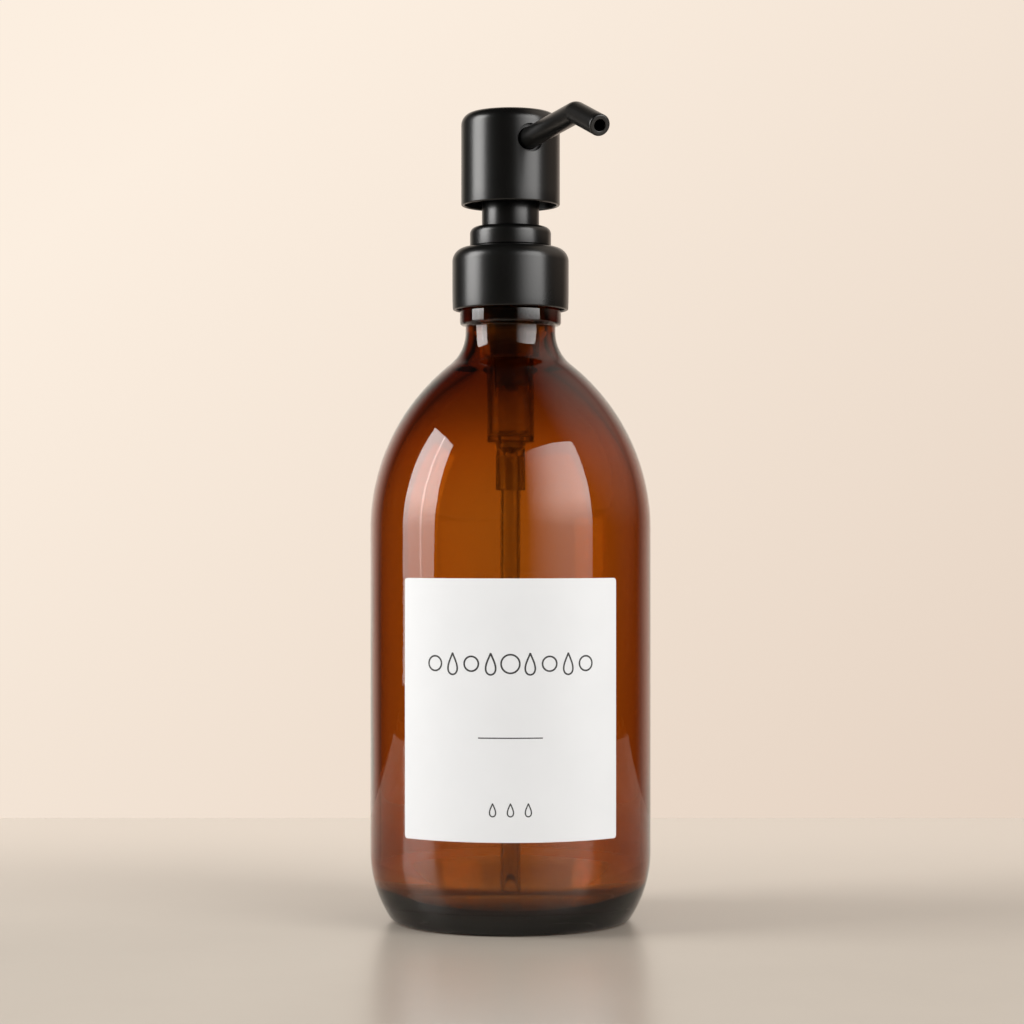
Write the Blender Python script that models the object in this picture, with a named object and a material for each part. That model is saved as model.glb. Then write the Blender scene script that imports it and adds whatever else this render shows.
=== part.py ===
"""Amber glass soap bottle with a press-down lotion pump, as an assembly of separate pieces.

Blender 4.5 script, in metres, +Z up.  The origin is the centre of the bottle's base, the label faces -Y
and the spout points between -Y and +X.  Run with: blender --background --python part.py
"""

import math

import bmesh
import bpy
from mathutils import Matrix, Vector

MM = 0.001

# ---------------------------------------------------------------- driving dimensions
# Clearances
SEAT_GAP = 0.3 * MM          # between two pieces that rest on or hold each other
SLIDE_GAP = 0.3 * MM         # round a piece that slides or turns in another
PISTON_GAP = 0.15 * MM       # round the sealing piston
THREAD_GAP = 0.35 * MM       # between a thread's crest and the wall it faces

# Bottle
BODY_RADIUS = 38.0 * MM
BODY_TOP = 106.0 * MM        # height where the straight wall turns into the shoulder
SHOULDER_RADIUS = 57.0 * MM
NECK_BLEND_RADIUS = 11.5 * MM
HEEL_RADIUS = 33.0 * MM      # large arc that draws the wall in towards the base
HEEL_HEIGHT = 19.0 * MM
BASE_FILLET = 3.0 * MM
BASE_THICKNESS = 4.5 * MM
FLOOR_CROWN = 1.6 * MM       # rise of the inside floor at its centre
GLASS_WALL = 2.7 * MM
NECK_STRAIGHT = 1.6 * MM
BEAD_HEIGHT = 4.8 * MM
BEAD_PROUD = 0.15 * MM       # bead beyond the thread's crest
FINISH_STEP = 0.3 * MM       # finish wall beyond the neck's
FINISH_HEIGHT = 10.9 * MM    # bead's top to the mouth
GLASS_EDGE = 0.7 * MM        # chamfer on the bead and the mouth
FLOOR_CORNER = 9.0 * MM      # inside corner between the wall and the floor
THREAD_DEPTH = 1.1 * MM
THREAD_PITCH = 4.233 * MM    # six turns to the inch
THREAD_TURNS = 1.5
THREAD_ROOT = 2.1 * MM       # thread's axial width at its root
THREAD_CREST = 1.1 * MM
THREAD_EMBED = 0.35 * MM     # how deep a ridge's root sits in its wall
THREAD_END = 0.2             # share of the ridge's depth at its very ends
THREAD_RUN_OUT = 2           # facets over which it grows to its full depth
THREAD_START = 2.55 * MM     # bottle's thread above the bead, at its lower end
CAP_THREAD_DROP = 1.9 * MM   # closure's ridge below the bottle's, when screwed home
CAP_THREAD_TURNS = (0.3, 1.4)

# Label
LABEL_WIDTH = 61.5 * MM
LABEL_FOOT_SPACE = 6.1 * MM  # straight wall left free under and over the label
LABEL_HEAD_SPACE = 12.9 * MM
LABEL_CORNER = 0.8 * MM
LABEL_THICKNESS = 0.2 * MM
LABEL_COLUMNS = 24
LABEL_CORNER_STEPS = 3

# Plunger, from the middle outwards
FLUID_BORE = 1.2 * MM
ROD_WALL = 2.1 * MM
STEM_RADIUS = 3.8 * MM       # upper stem, where the head grips it
SPRING_WIRE = 0.7 * MM
SPRING_ROOM = 0.7 * MM       # free space on each side of the coil
SPRING_TURNS = 8
SPRING_PRESSED = 9.0 * MM    # spring's length at full stroke
SPRING_EASE = 0.6            # how flat the end turns lie, from 0 to 1
STROKE = 10.5 * MM
PISTON_HEIGHT = 4.3 * MM
PISTON_WAIST = 1.0 * MM      # waist's depth between the two lips
PISTON_EDGE = 0.5 * MM       # height of a lip's edge
PISTON_SLEEVE = 2.3 * MM     # rod's radius under the piston
ROD_FLANGE = 0.9 * MM
ROD_FLANGE_GAP = 0.4 * MM    # flange to the barrel's bore
ROD_FOOT = 1.2 * MM
ROD_FOOT_PROUD = 0.6 * MM    # foot beyond the sleeve that the piston sits on
STEM_SHOULDER = 1.6 * MM
STEM_SKIRT = 8.0 * MM        # stem below its shoulder
STEM_SOCKET = 6.0 * MM
STEM_PLUG_WALL = 1.2 * MM    # rod's spigot round the fluid bore, gap included

# Pump body
GUIDE_WALL = 1.2 * MM
GUIDE_DEPTH = 25.2 * MM      # guide bush below the mouth
GUIDE_LIP = 1.4 * MM
GUIDE_LIP_GAP = 0.4 * MM     # lip to the rod
BARREL_BORE = 5.3 * MM
BARREL_WALL = 1.1 * MM
HOUSING_WALL = 1.0 * MM
FLANGE_INSET = 0.2 * MM      # flange and gasket inside the finish wall
FIN_COUNT = 4
FIN_LENGTH = 8.5 * MM
FIN_THICKNESS = 0.9 * MM
FIN_INSET = 0.1 * MM         # fin's edge inside the housing's wall
FIN_TURN = math.radians(50.0)
PUMP_CLEARANCE = 1.6 * MM    # pump body to the bottle's bore
VENT_RADIUS = 0.8 * MM
VENT_HEIGHT = 6.3 * MM       # above the guide bush's foot
CAGE_THICKNESS = 1.1 * MM
CAGE_CLEARANCE = 0.9 * MM    # rod's foot above the cage at full stroke
CAGE_RECESS = 0.5 * MM
CAGE_HOLE = 1.2 * MM         # hole's radius, and the slot's width
CAGE_SLOT = 7.2 * MM         # slot's length
CAGE_SLOT_TURN = math.radians(5.0)
CHAMBER_FLOOR = 1.6 * MM
INLET_BALL_RADIUS = 2.0 * MM
OUTLET_BALL_RADIUS = 1.9 * MM
BALL_GAP = 0.12 * MM
BALL_ROOM = 0.7 * MM         # ball pocket beyond the ball
INLET_SEAT = 1.4 * MM        # hole's radius under the inlet ball
INLET_ROOM = 0.2 * MM        # chamber's floor above the seat and one ball
OUTLET_ROOM = 1.0 * MM       # stem's top above the seat and one ball
TUBE_BORE = 2.0 * MM
TUBE_WALL = 0.75 * MM
TUBE_GRIP = 9.6 * MM         # length of the dip tube's socket
TUBE_WEB = 1.0 * MM          # stop above the dip tube
TUBE_FOOT = 3.0 * MM         # dip tube above the inside floor
TUBE_CUT = 1.9 * MM          # slanted cut's height at the tube's axis
TUBE_SLANT = math.radians(38.0)

# Closure and the turned covers above it
GASKET_THICKNESS = 1.0 * MM
FLANGE_THICKNESS = 1.2 * MM
CAP_WALL = 0.95 * MM
CAP_PLATE = 1.5 * MM
CAP_LIFT = 0.6 * MM          # closure cap above the bead
COLLAR_WALL = 0.6 * MM
COLLAR_RIM = 1.0 * MM        # rolled lower rim
COLLAR_SKIRT = 0.6 * MM      # collar below the bead's top
COLLAR_FILLET = 3.8 * MM
COLLAR_TAPER = 0.1 * MM      # the collar narrows by this much below COLLAR_STRAIGHT
COLLAR_STRAIGHT = 5.0 * MM
DRUM_PROUD = 1.8 * MM        # guide bush's drum beyond the pump body
DRUM_HEAD = 0.4 * MM         # its captive head beyond the drum
DRUM_HEIGHT = 4.4 * MM
DRUM_WALL = 1.0 * MM
DRUM_CEILING = 1.6 * MM
GROOVE_WALL = 0.8 * MM       # guide bush's tube inside the drum's groove, beyond GUIDE_RADIUS
RING_WALL = 0.6 * MM
RING_FILLET = 1.9 * MM
COLUMN_WALL = 0.47 * MM
COLUMN_STEP = 0.4 * MM       # guide bush's top beyond its tube
COLUMN_OVERLAP = 1.3 * MM    # column that the raised head hides

# Head
PRESS_CLEARANCE = 0.8 * MM   # head above the collar at full stroke
HEAD_CLEARANCE = 1.5 * MM    # head's bore round the ring cover
HEAD_WALL = 0.9 * MM
HEAD_FILLET = 3.4 * MM
HEAD_TOP_SPACE = 8.4 * MM    # spout's axis to the head's top, at the wall
HUB_WALL = 1.0 * MM
HUB_DEPTH = 5.8 * MM         # hub's socket round the stem
CORE_DISC = 2.8 * MM
CORE_SKIRT = 1.0 * MM
CORE_SKIRT_GAP = 0.4 * MM    # skirt's foot above the boss's
CORE_RIB = 1.2 * MM
RIB_COUNT = 3                # the boss takes the fourth place
RIB_RISE = 1.5 * MM          # ribs' foot above the skirt's
RIB_EMBED = 0.5 * MM
RISER_BORE = 1.38 * MM       # hole from the outlet ball up to the spout's channel
BOSS_WALL = 0.9 * MM
BOSS_CLEARANCE = 0.6 * MM    # spout's boss above the column at full stroke

# Spout
SPOUT_RADIUS = 2.85 * MM
SPOUT_BORE = 1.5 * MM
SPOUT_FIT = 0.2 * MM
SPOUT_HOLE_ROOM = 0.95 * MM  # hole in the head's shell beyond the spout
SPOUT_INNER_END = 3.8 * MM   # distances from the axis
SPOUT_BEND = 41.4 * MM
SPOUT_REACH = 55.7 * MM
SPOUT_RISE = math.radians(5.0)
SPOUT_DROP = math.radians(21.0)
SPOUT_BEND_RADIUS = 3.4 * MM
SPOUT_CHAMFER = 0.4 * MM
SPOUT_BEND_STEPS = 5
SPOUT_TURN = math.radians(24.0)   # spout's direction from the label's, seen from above

# Facets round each kind of piece
BOTTLE_FACETS = 36
COVER_FACETS = 32
INNER_FACETS = 24
THREAD_FACETS = 24           # per turn
SPRING_FACETS = 12           # per turn
SPRING_SIDES = 6
SPOUT_SIDES = 20
HOLE_FACETS = 12

# ---------------------------------------------------------------- radii that follow
ROD_RADIUS = FLUID_BORE + ROD_WALL
SPRING_RADIUS = ROD_RADIUS + SPRING_ROOM + SPRING_WIRE / 2
GUIDE_BORE = SPRING_RADIUS + SPRING_WIRE / 2 + SPRING_ROOM
GUIDE_RADIUS = GUIDE_BORE + GUIDE_WALL
HOUSING_BORE = GUIDE_RADIUS + SEAT_GAP
HOUSING_RADIUS = HOUSING_BORE + HOUSING_WALL
MOUTH_RADIUS = HOUSING_RADIUS + PUMP_CLEARANCE
NECK_RADIUS = MOUTH_RADIUS + GLASS_WALL
FINISH_RADIUS = NECK_RADIUS + FINISH_STEP
THREAD_RADIUS = FINISH_RADIUS + THREAD_DEPTH
BEAD_RADIUS = THREAD_RADIUS + BEAD_PROUD
CAP_BORE = THREAD_RADIUS + THREAD_GAP
CAP_RADIUS = CAP_BORE + CAP_WALL
COLLAR_BORE = CAP_RADIUS + SEAT_GAP
COLLAR_RADIUS = COLLAR_BORE + COLLAR_WALL
FLANGE_RADIUS = FINISH_RADIUS - FLANGE_INSET
DRUM_RADIUS = HOUSING_RADIUS + DRUM_PROUD
CAP_HOLE = DRUM_RADIUS + SLIDE_GAP
RING_BORE = DRUM_RADIUS + DRUM_HEAD + SEAT_GAP
RING_RADIUS = RING_BORE + RING_WALL
COLUMN_CORE = GUIDE_RADIUS + COLUMN_STEP
COLUMN_RADIUS = COLUMN_CORE + SEAT_GAP + COLUMN_WALL
HEAD_BORE = RING_RADIUS + HEAD_CLEARANCE
HEAD_RADIUS = HEAD_BORE + HEAD_WALL
BARREL_RADIUS = BARREL_BORE + BARREL_WALL
TUBE_RADIUS = TUBE_BORE + TUBE_WALL
TUBE_SOCKET = TUBE_RADIUS + SEAT_GAP
TUBE_HOLDER = TUBE_SOCKET + HOUSING_WALL
STEM_HOLE = STEM_RADIUS + SEAT_GAP
STEM_PLUG = FLUID_BORE + STEM_PLUG_WALL
HUB_RADIUS = STEM_HOLE + HUB_WALL
CORE_RADIUS = HEAD_BORE - SEAT_GAP
SPOUT_SOCKET = SPOUT_RADIUS + SPOUT_FIT
BOSS_RADIUS = SPOUT_SOCKET + BOSS_WALL

# ---------------------------------------------------------------- heights that follow
# Bottle, from its base
NECK_BLEND_R = NECK_RADIUS + NECK_BLEND_RADIUS
SHOULDER_R = BODY_RADIUS - SHOULDER_RADIUS
NECK_BLEND_Z = BODY_TOP + math.sqrt(
    (SHOULDER_RADIUS + NECK_BLEND_RADIUS) ** 2 - (NECK_BLEND_R - SHOULDER_R) ** 2
)
LABEL_FOOT_Z = HEEL_HEIGHT + LABEL_FOOT_SPACE
LABEL_HEAD_Z = BODY_TOP - LABEL_HEAD_SPACE
BEAD_Z = NECK_BLEND_Z + NECK_STRAIGHT
MOUTH_Z = BEAD_Z + BEAD_HEIGHT + FINISH_HEIGHT

# Pump, from the bottle's mouth
GASKET_Z = SEAT_GAP
FLANGE_Z = GASKET_Z + GASKET_THICKNESS + SEAT_GAP
CAP_UNDER_Z = FLANGE_Z + FLANGE_THICKNESS + SEAT_GAP
CAP_TOP_Z = CAP_UNDER_Z + CAP_PLATE
COLLAR_TOP_Z = CAP_TOP_Z + SEAT_GAP + COLLAR_WALL
COLLAR_FOOT_Z = -FINISH_HEIGHT - COLLAR_SKIRT
CAP_FOOT_Z = -FINISH_HEIGHT + CAP_LIFT
THREAD_LOW_Z = -FINISH_HEIGHT + THREAD_START
RING_FOOT_Z = COLLAR_TOP_Z + SEAT_GAP
DRUM_TOP_Z = RING_FOOT_Z + DRUM_HEIGHT
RING_TOP_Z = DRUM_TOP_Z + SEAT_GAP + RING_WALL
HEAD_FOOT_Z = COLLAR_TOP_Z + STROKE + PRESS_CLEARANCE
COLUMN_TOP_Z = HEAD_FOOT_Z + COLUMN_OVERLAP
GUIDE_FOOT_Z = -GUIDE_DEPTH
SPRING_FOOT_Z = GUIDE_FOOT_Z + GUIDE_LIP + SEAT_GAP
SPRING_LENGTH = STROKE + SPRING_PRESSED
SHOULDER_Z = SPRING_FOOT_Z + SPRING_LENGTH + SEAT_GAP
STEM_FOOT_Z = SHOULDER_Z - STEM_SKIRT
ROD_FLANGE_Z = GUIDE_FOOT_Z - SEAT_GAP - ROD_FLANGE
PISTON_Z = ROD_FLANGE_Z - SEAT_GAP - PISTON_HEIGHT
ROD_FOOT_Z = PISTON_Z - SEAT_GAP - ROD_FOOT
CAGE_Z = ROD_FOOT_Z - STROKE - CAGE_CLEARANCE - CAGE_THICKNESS
CHAMBER_Z = CAGE_Z - SEAT_GAP
BARREL_FOOT_Z = CHAMBER_Z - CHAMBER_FLOOR
INLET_POCKET = INLET_BALL_RADIUS + BALL_ROOM
INLET_SEAT_Z = CHAMBER_Z - 2 * INLET_BALL_RADIUS - INLET_ROOM
TUBE_TOP_Z = INLET_SEAT_Z - TUBE_WEB
HOLDER_FOOT_Z = TUBE_TOP_Z - TUBE_GRIP

# Head, from its own lower rim
BOSS_FOOT_Z = COLUMN_OVERLAP + STROKE + BOSS_CLEARANCE
SPOUT_AXIS_Z = BOSS_FOOT_Z + BOSS_RADIUS - COLUMN_RADIUS * math.tan(SPOUT_RISE)
HEAD_HEIGHT = SPOUT_AXIS_Z + HEAD_RADIUS * math.tan(SPOUT_RISE) + HEAD_TOP_SPACE
STEM_CEILING_Z = SPOUT_AXIS_Z + SPOUT_INNER_END * math.tan(SPOUT_RISE) - SPOUT_SOCKET - BOSS_WALL
STEM_TOP_Z = STEM_CEILING_Z - SEAT_GAP
HUB_FOOT_Z = STEM_CEILING_Z - HUB_DEPTH
OUTLET_POCKET = OUTLET_BALL_RADIUS + BALL_ROOM / 2
OUTLET_SEAT_Z = STEM_TOP_Z - 2 * OUTLET_BALL_RADIUS - OUTLET_ROOM


# ---------------------------------------------------------------- tools
def arc(centre_r, centre_z, radius, start, end, steps):
    """Points on an arc, from start to end in degrees, both ends included."""
    angles = [math.radians(start + (end - start) * i / steps) for i in range(steps + 1)]
    return [(centre_r + radius * math.cos(a), centre_z + radius * math.sin(a)) for a in angles]


def mesh_object(name, bm, parent, finish=None):
    """Makes a bmesh an object with outward faces and, for a piece, a material of its own."""
    bmesh.ops.remove_doubles(bm, verts=bm.verts, dist=1e-7)
    bmesh.ops.recalc_face_normals(bm, faces=bm.faces)
    mesh = bpy.data.meshes.new(name)
    bm.to_mesh(mesh)
    bm.free()
    obj = bpy.data.objects.new(name, mesh)
    bpy.context.scene.collection.objects.link(obj)
    obj.parent = parent
    if finish:
        mesh.materials.append(paint(name, finish))
        mesh.shade_smooth()
        mesh.set_sharp_from_angle(angle=math.radians(30))
    return obj


def turned(name, profile, facets, parent, finish=None):
    """A solid of revolution about Z.  The profile is a closed loop of (radius, height) points."""
    bm = bmesh.new()
    verts = [bm.verts.new((r, 0, z)) for r, z in profile]
    edges = [
        bm.edges.new((a, b))
        for a, b in zip(verts, verts[1:] + verts[:1])
        if a.co.x > 0 or b.co.x > 0
    ]
    bmesh.ops.spin(
        bm, geom=verts + edges, cent=(0, 0, 0), axis=(0, 0, 1), angle=math.tau,
        steps=facets, use_merge=True, use_normal_flip=False, use_duplicate=False,
    )
    return mesh_object(name, bm, parent, finish)


def block(name, low, high, parent):
    """A box between two corners."""
    bm = bmesh.new()
    bmesh.ops.create_cube(bm, size=1)
    size = Vector(high) - Vector(low)
    bmesh.ops.scale(bm, vec=size, verts=bm.verts)
    bmesh.ops.translate(bm, vec=(Vector(low) + Vector(high)) / 2, verts=bm.verts)
    return mesh_object(name, bm, parent)


def rod(name, radius, start, end, facets, parent):
    """A plain round bar between two points."""
    start, end = Vector(start), Vector(end)
    along = end - start
    bm = bmesh.new()
    bmesh.ops.create_cone(
        bm, cap_ends=True, segments=facets, radius1=radius, radius2=radius, depth=along.length
    )
    turn = Vector((0, 0, 1)).rotation_difference(along).to_matrix().to_4x4()
    bmesh.ops.transform(bm, matrix=Matrix.Translation((start + end) / 2) @ turn, verts=bm.verts)
    return mesh_object(name, bm, parent)


def ball(name, radius, height, parent, finish):
    bm = bmesh.new()
    bmesh.ops.create_icosphere(bm, subdivisions=2, radius=radius)
    bmesh.ops.translate(bm, vec=(0, 0, height), verts=bm.verts)
    return mesh_object(name, bm, parent, finish)


def swept(bm, rings, closed_section=True):
    """Skins rings of points, all with the same count, and caps the two ends."""
    loops = [[bm.verts.new(p) for p in ring] for ring in rings]
    count = len(loops[0])
    for a, b in zip(loops, loops[1:]):
        for i in range(count):
            j = (i + 1) % count
            bm.faces.new((a[i], a[j], b[j], b[i]))
    if closed_section:
        bm.faces.new(loops[0][::-1])
        bm.faces.new(loops[-1])
    return loops


def boolean(obj, tool, operation):
    """Joins or cuts with a hidden tool."""
    tool.hide_render = True
    tool.display_type = "WIRE"
    modifier = obj.modifiers.new(tool.name, "BOOLEAN")
    modifier.object = tool
    modifier.operation = operation
    modifier.solver = "EXACT"


def frame(name, height, turn=0.0, parent=None):
    """An empty that carries a group of pieces, on the pump's axis."""
    empty = bpy.data.objects.new(name, None)
    bpy.context.scene.collection.objects.link(empty)
    empty.parent = parent
    empty.location = (0, 0, height)
    empty.rotation_euler = (0, 0, turn)
    return empty


def paint(name, finish):
    """One piece's material, from a finish: a Principled shader's inputs by name."""
    material = bpy.data.materials.new(name)
    material.use_nodes = True
    shader = material.node_tree.nodes["Principled BSDF"]
    for socket, value in finish.items():
        shader.inputs[socket].default_value = value
    return material


AMBER_GLASS = {
    "Base Color": (0.32, 0.10, 0.01, 1), "Roughness": 0.03, "Transmission Weight": 0.9, "Alpha": 0.6
}
LABEL_FILM = {"Base Color": (0.88, 0.88, 0.87, 1), "Roughness": 0.55}
COATED_METAL = {"Base Color": (0.012, 0.012, 0.011, 1), "Roughness": 0.34, "Metallic": 0.0}
BLACK_PLASTIC = {"Base Color": (0.015, 0.015, 0.015, 1), "Roughness": 0.5}
NATURAL_PLASTIC = {
    "Base Color": (0.75, 0.74, 0.70, 1), "Roughness": 0.35, "Transmission Weight": 0.6, "Alpha": 0.7
}
SEAL_RUBBER = {"Base Color": (0.80, 0.80, 0.78, 1), "Roughness": 0.6}
SPRING_STEEL = {"Base Color": (0.55, 0.55, 0.56, 1), "Roughness": 0.3, "Metallic": 1.0}
VALVE_GLASS = {"Base Color": (0.70, 0.78, 0.75, 1), "Roughness": 0.1, "Transmission Weight": 0.5}


# ---------------------------------------------------------------- bottle
def bottle_outline():
    """Outer wall, from the base's centre up to the mouth."""
    blend_angle = math.degrees(math.atan2(NECK_BLEND_Z - BODY_TOP, NECK_BLEND_R - SHOULDER_R))
    heel_r = BODY_RADIUS - HEEL_RADIUS
    fillet_r, fillet_z = base_fillet_centre(heel_r)
    touch = math.degrees(math.atan2(fillet_z - HEEL_HEIGHT, fillet_r - heel_r))
    bead_top = BEAD_Z + BEAD_HEIGHT
    edge = GLASS_EDGE
    return (
        [(0, 0)]
        + arc(fillet_r, fillet_z, BASE_FILLET, -90, touch, 3)
        + arc(heel_r, HEEL_HEIGHT, HEEL_RADIUS, touch, 0, 3)[1:]
        + arc(SHOULDER_R, BODY_TOP, SHOULDER_RADIUS, 0, blend_angle, 7)
        + arc(NECK_BLEND_R, NECK_BLEND_Z, NECK_BLEND_RADIUS, 180 + blend_angle, 180, 3)[1:]
        + [(NECK_RADIUS, BEAD_Z), (BEAD_RADIUS - edge, BEAD_Z), (BEAD_RADIUS, BEAD_Z + edge)]
        + [(BEAD_RADIUS, bead_top - edge), (BEAD_RADIUS - edge, bead_top)]
        + [(FINISH_RADIUS, bead_top), (FINISH_RADIUS, MOUTH_Z - edge)]
        + [(FINISH_RADIUS - edge, MOUTH_Z)]
    )


def base_fillet_centre(heel_r):
    """Centre of the small fillet that runs from the flat base into the heel's arc."""
    reach = HEEL_RADIUS - BASE_FILLET
    drop = HEEL_HEIGHT - BASE_FILLET
    return heel_r + math.sqrt(reach**2 - drop**2), BASE_FILLET


def bottle_bore():
    """Inner wall, from the mouth down to the floor's centre."""
    blend_angle = math.degrees(math.atan2(NECK_BLEND_Z - BODY_TOP, NECK_BLEND_R - SHOULDER_R))
    inner = BODY_RADIUS - GLASS_WALL
    corner = FLOOR_CORNER
    return (
        [(MOUTH_RADIUS + GLASS_EDGE, MOUTH_Z), (MOUTH_RADIUS, MOUTH_Z - GLASS_EDGE)]
        + arc(NECK_BLEND_R, NECK_BLEND_Z, NECK_BLEND_RADIUS + GLASS_WALL, 180, 180 + blend_angle, 3)
        + arc(SHOULDER_R, BODY_TOP, SHOULDER_RADIUS - GLASS_WALL, blend_angle, 0, 5)[1:]
        + arc(inner - corner, BASE_THICKNESS + corner, corner, 0, -90, 3)
        + [(0, BASE_THICKNESS + FLOOR_CROWN)]
    )


def thread(name, low_z, first, last, root_r, crest_r, parent):
    """A right-handed helical ridge between two counts of turns, with ends that run out to its root."""
    steps = round((last - first) * THREAD_FACETS)
    embed = math.copysign(THREAD_EMBED, root_r - crest_r)
    # A quarter of a facet keeps the ridge's corners off the wall's.
    offset = math.pi / THREAD_FACETS / 2
    rings = []
    for i in range(steps + 1):
        turns = first + (last - first) * i / steps
        angle = math.tau * turns + offset
        height = min(1.0, THREAD_END + min(i, steps - i) / THREAD_RUN_OUT)
        crest = root_r + (crest_r - root_r) * height
        z = low_z + THREAD_PITCH * turns
        section = [
            (root_r + embed, -THREAD_ROOT / 2),
            (root_r, -THREAD_ROOT / 2),
            (crest, -THREAD_CREST / 2),
            (crest, THREAD_CREST / 2),
            (root_r, THREAD_ROOT / 2),
            (root_r + embed, THREAD_ROOT / 2),
        ]
        rings.append([(r * math.cos(angle), r * math.sin(angle), z + dz) for r, dz in section])
    bm = bmesh.new()
    swept(bm, rings)
    return mesh_object(name, bm, parent)


def make_bottle(parent, mouth):
    bottle = turned("bottle", bottle_outline() + bottle_bore(), BOTTLE_FACETS, parent, AMBER_GLASS)
    ridge = thread(
        "bottle_thread_tool", THREAD_LOW_Z, 0, THREAD_TURNS, FINISH_RADIUS, THREAD_RADIUS, mouth
    )
    boolean(bottle, ridge, "UNION")


def make_label(parent):
    """A thin plate with rounded corners, wrapped round the bottle's front."""
    inner = BODY_RADIUS + SEAT_GAP
    half = LABEL_WIDTH / 2
    across = [
        half - LABEL_CORNER * (1 - math.sin(math.pi / 2 * i / LABEL_CORNER_STEPS))
        for i in range(LABEL_CORNER_STEPS, -1, -1)
    ]
    middle = [across[-1] * (1 - 2 * i / LABEL_COLUMNS) for i in range(1, LABEL_COLUMNS)]
    places = across + middle + [-x for x in reversed(across)]
    bm = bmesh.new()
    rings = []
    for s in places:
        into_corner = max(0.0, abs(s) - (half - LABEL_CORNER)) / LABEL_CORNER
        trim = LABEL_CORNER * (1 - math.sqrt(max(0.0, 1 - into_corner**2)))
        angle = s / inner
        low, high = LABEL_FOOT_Z + trim, LABEL_HEAD_Z - trim
        rings.append([
            (r * math.sin(angle), -r * math.cos(angle), z)
            for r, z in (
                (inner, low), (inner, high),
                (inner + LABEL_THICKNESS, high), (inner + LABEL_THICKNESS, low),
            )
        ])
    swept(bm, rings)
    mesh_object("label", bm, parent, LABEL_FILM)


# ---------------------------------------------------------------- pump body
def make_gasket(parent):
    inner = HOUSING_RADIUS + SLIDE_GAP
    top = GASKET_Z + GASKET_THICKNESS
    profile = [(inner, GASKET_Z), (FLANGE_RADIUS, GASKET_Z), (FLANGE_RADIUS, top), (inner, top)]
    turned("gasket", profile, INNER_FACETS, parent, SEAL_RUBBER)


def make_housing(parent):
    """Flanged cylinder with the pumping chamber, the inlet valve's seat and the dip tube's socket."""
    step_z = GUIDE_FOOT_Z - SEAT_GAP
    taper = HOUSING_RADIUS - BARREL_RADIUS
    seat_top = INLET_SEAT_Z + INLET_POCKET - INLET_SEAT
    flange_top = FLANGE_Z + FLANGE_THICKNESS
    profile = [
        (HOUSING_BORE, flange_top), (HOUSING_BORE, step_z), (BARREL_BORE, step_z),
        (BARREL_BORE, CHAMBER_Z), (INLET_POCKET, CHAMBER_Z), (INLET_POCKET, seat_top),
        (INLET_SEAT, INLET_SEAT_Z), (INLET_SEAT, TUBE_TOP_Z), (TUBE_SOCKET, TUBE_TOP_Z),
        (TUBE_SOCKET, HOLDER_FOOT_Z), (TUBE_HOLDER, HOLDER_FOOT_Z), (TUBE_HOLDER, BARREL_FOOT_Z),
        (BARREL_RADIUS, BARREL_FOOT_Z), (BARREL_RADIUS, step_z - taper - HOUSING_WALL),
        (HOUSING_RADIUS, step_z - HOUSING_WALL), (HOUSING_RADIUS, FLANGE_Z),
        (FLANGE_RADIUS, FLANGE_Z), (FLANGE_RADIUS, flange_top),
    ]
    housing = turned("housing", profile, INNER_FACETS, parent, NATURAL_PLASTIC)
    fin_top = step_z - HOUSING_WALL
    for i in range(FIN_COUNT):
        fin = block(
            f"fin_tool_{i}",
            (BARREL_BORE + BARREL_WALL / 2, -FIN_THICKNESS / 2, fin_top - FIN_LENGTH),
            (HOUSING_RADIUS - FIN_INSET, FIN_THICKNESS / 2, fin_top + HOUSING_WALL / 2),
            parent,
        )
        fin.rotation_euler = (0, 0, FIN_TURN + math.tau * i / FIN_COUNT)
        boolean(housing, fin, "UNION")
    vent_z = GUIDE_FOOT_Z + VENT_HEIGHT
    vent = rod(
        "vent_tool", VENT_RADIUS, (0, GUIDE_RADIUS, vent_z),
        (0, HOUSING_RADIUS + HOUSING_WALL, vent_z), HOLE_FACETS, parent,
    )
    boolean(housing, vent, "DIFFERENCE")


def make_guide_bush(parent):
    """Bush that guides the plunger.  Its drum holds the closure captive and its top carries the column."""
    lip = ROD_RADIUS + GUIDE_LIP_GAP
    under = CAP_UNDER_Z
    groove = (GUIDE_RADIUS + GROOVE_WALL, DRUM_RADIUS - DRUM_WALL)
    groove_top = DRUM_TOP_Z - DRUM_CEILING
    head = DRUM_RADIUS + DRUM_HEAD
    chamfer = RING_FILLET - RING_WALL
    top = COLUMN_TOP_Z - COLUMN_WALL - SEAT_GAP
    profile = [
        (GUIDE_BORE, top), (GUIDE_BORE, GUIDE_FOOT_Z + GUIDE_LIP), (lip, GUIDE_FOOT_Z + GUIDE_LIP),
        (lip, GUIDE_FOOT_Z), (GUIDE_RADIUS, GUIDE_FOOT_Z), (GUIDE_RADIUS, under),
        (groove[0], under), (groove[0], groove_top), (groove[1], groove_top), (groove[1], under),
        (DRUM_RADIUS, under), (DRUM_RADIUS, RING_FOOT_Z), (head, RING_FOOT_Z),
        (head, DRUM_TOP_Z - chamfer), (head - chamfer, DRUM_TOP_Z), (COLUMN_CORE, DRUM_TOP_Z),
        (COLUMN_CORE, top),
    ]
    turned("guide_bush", profile, INNER_FACETS, parent, BLACK_PLASTIC)


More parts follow.
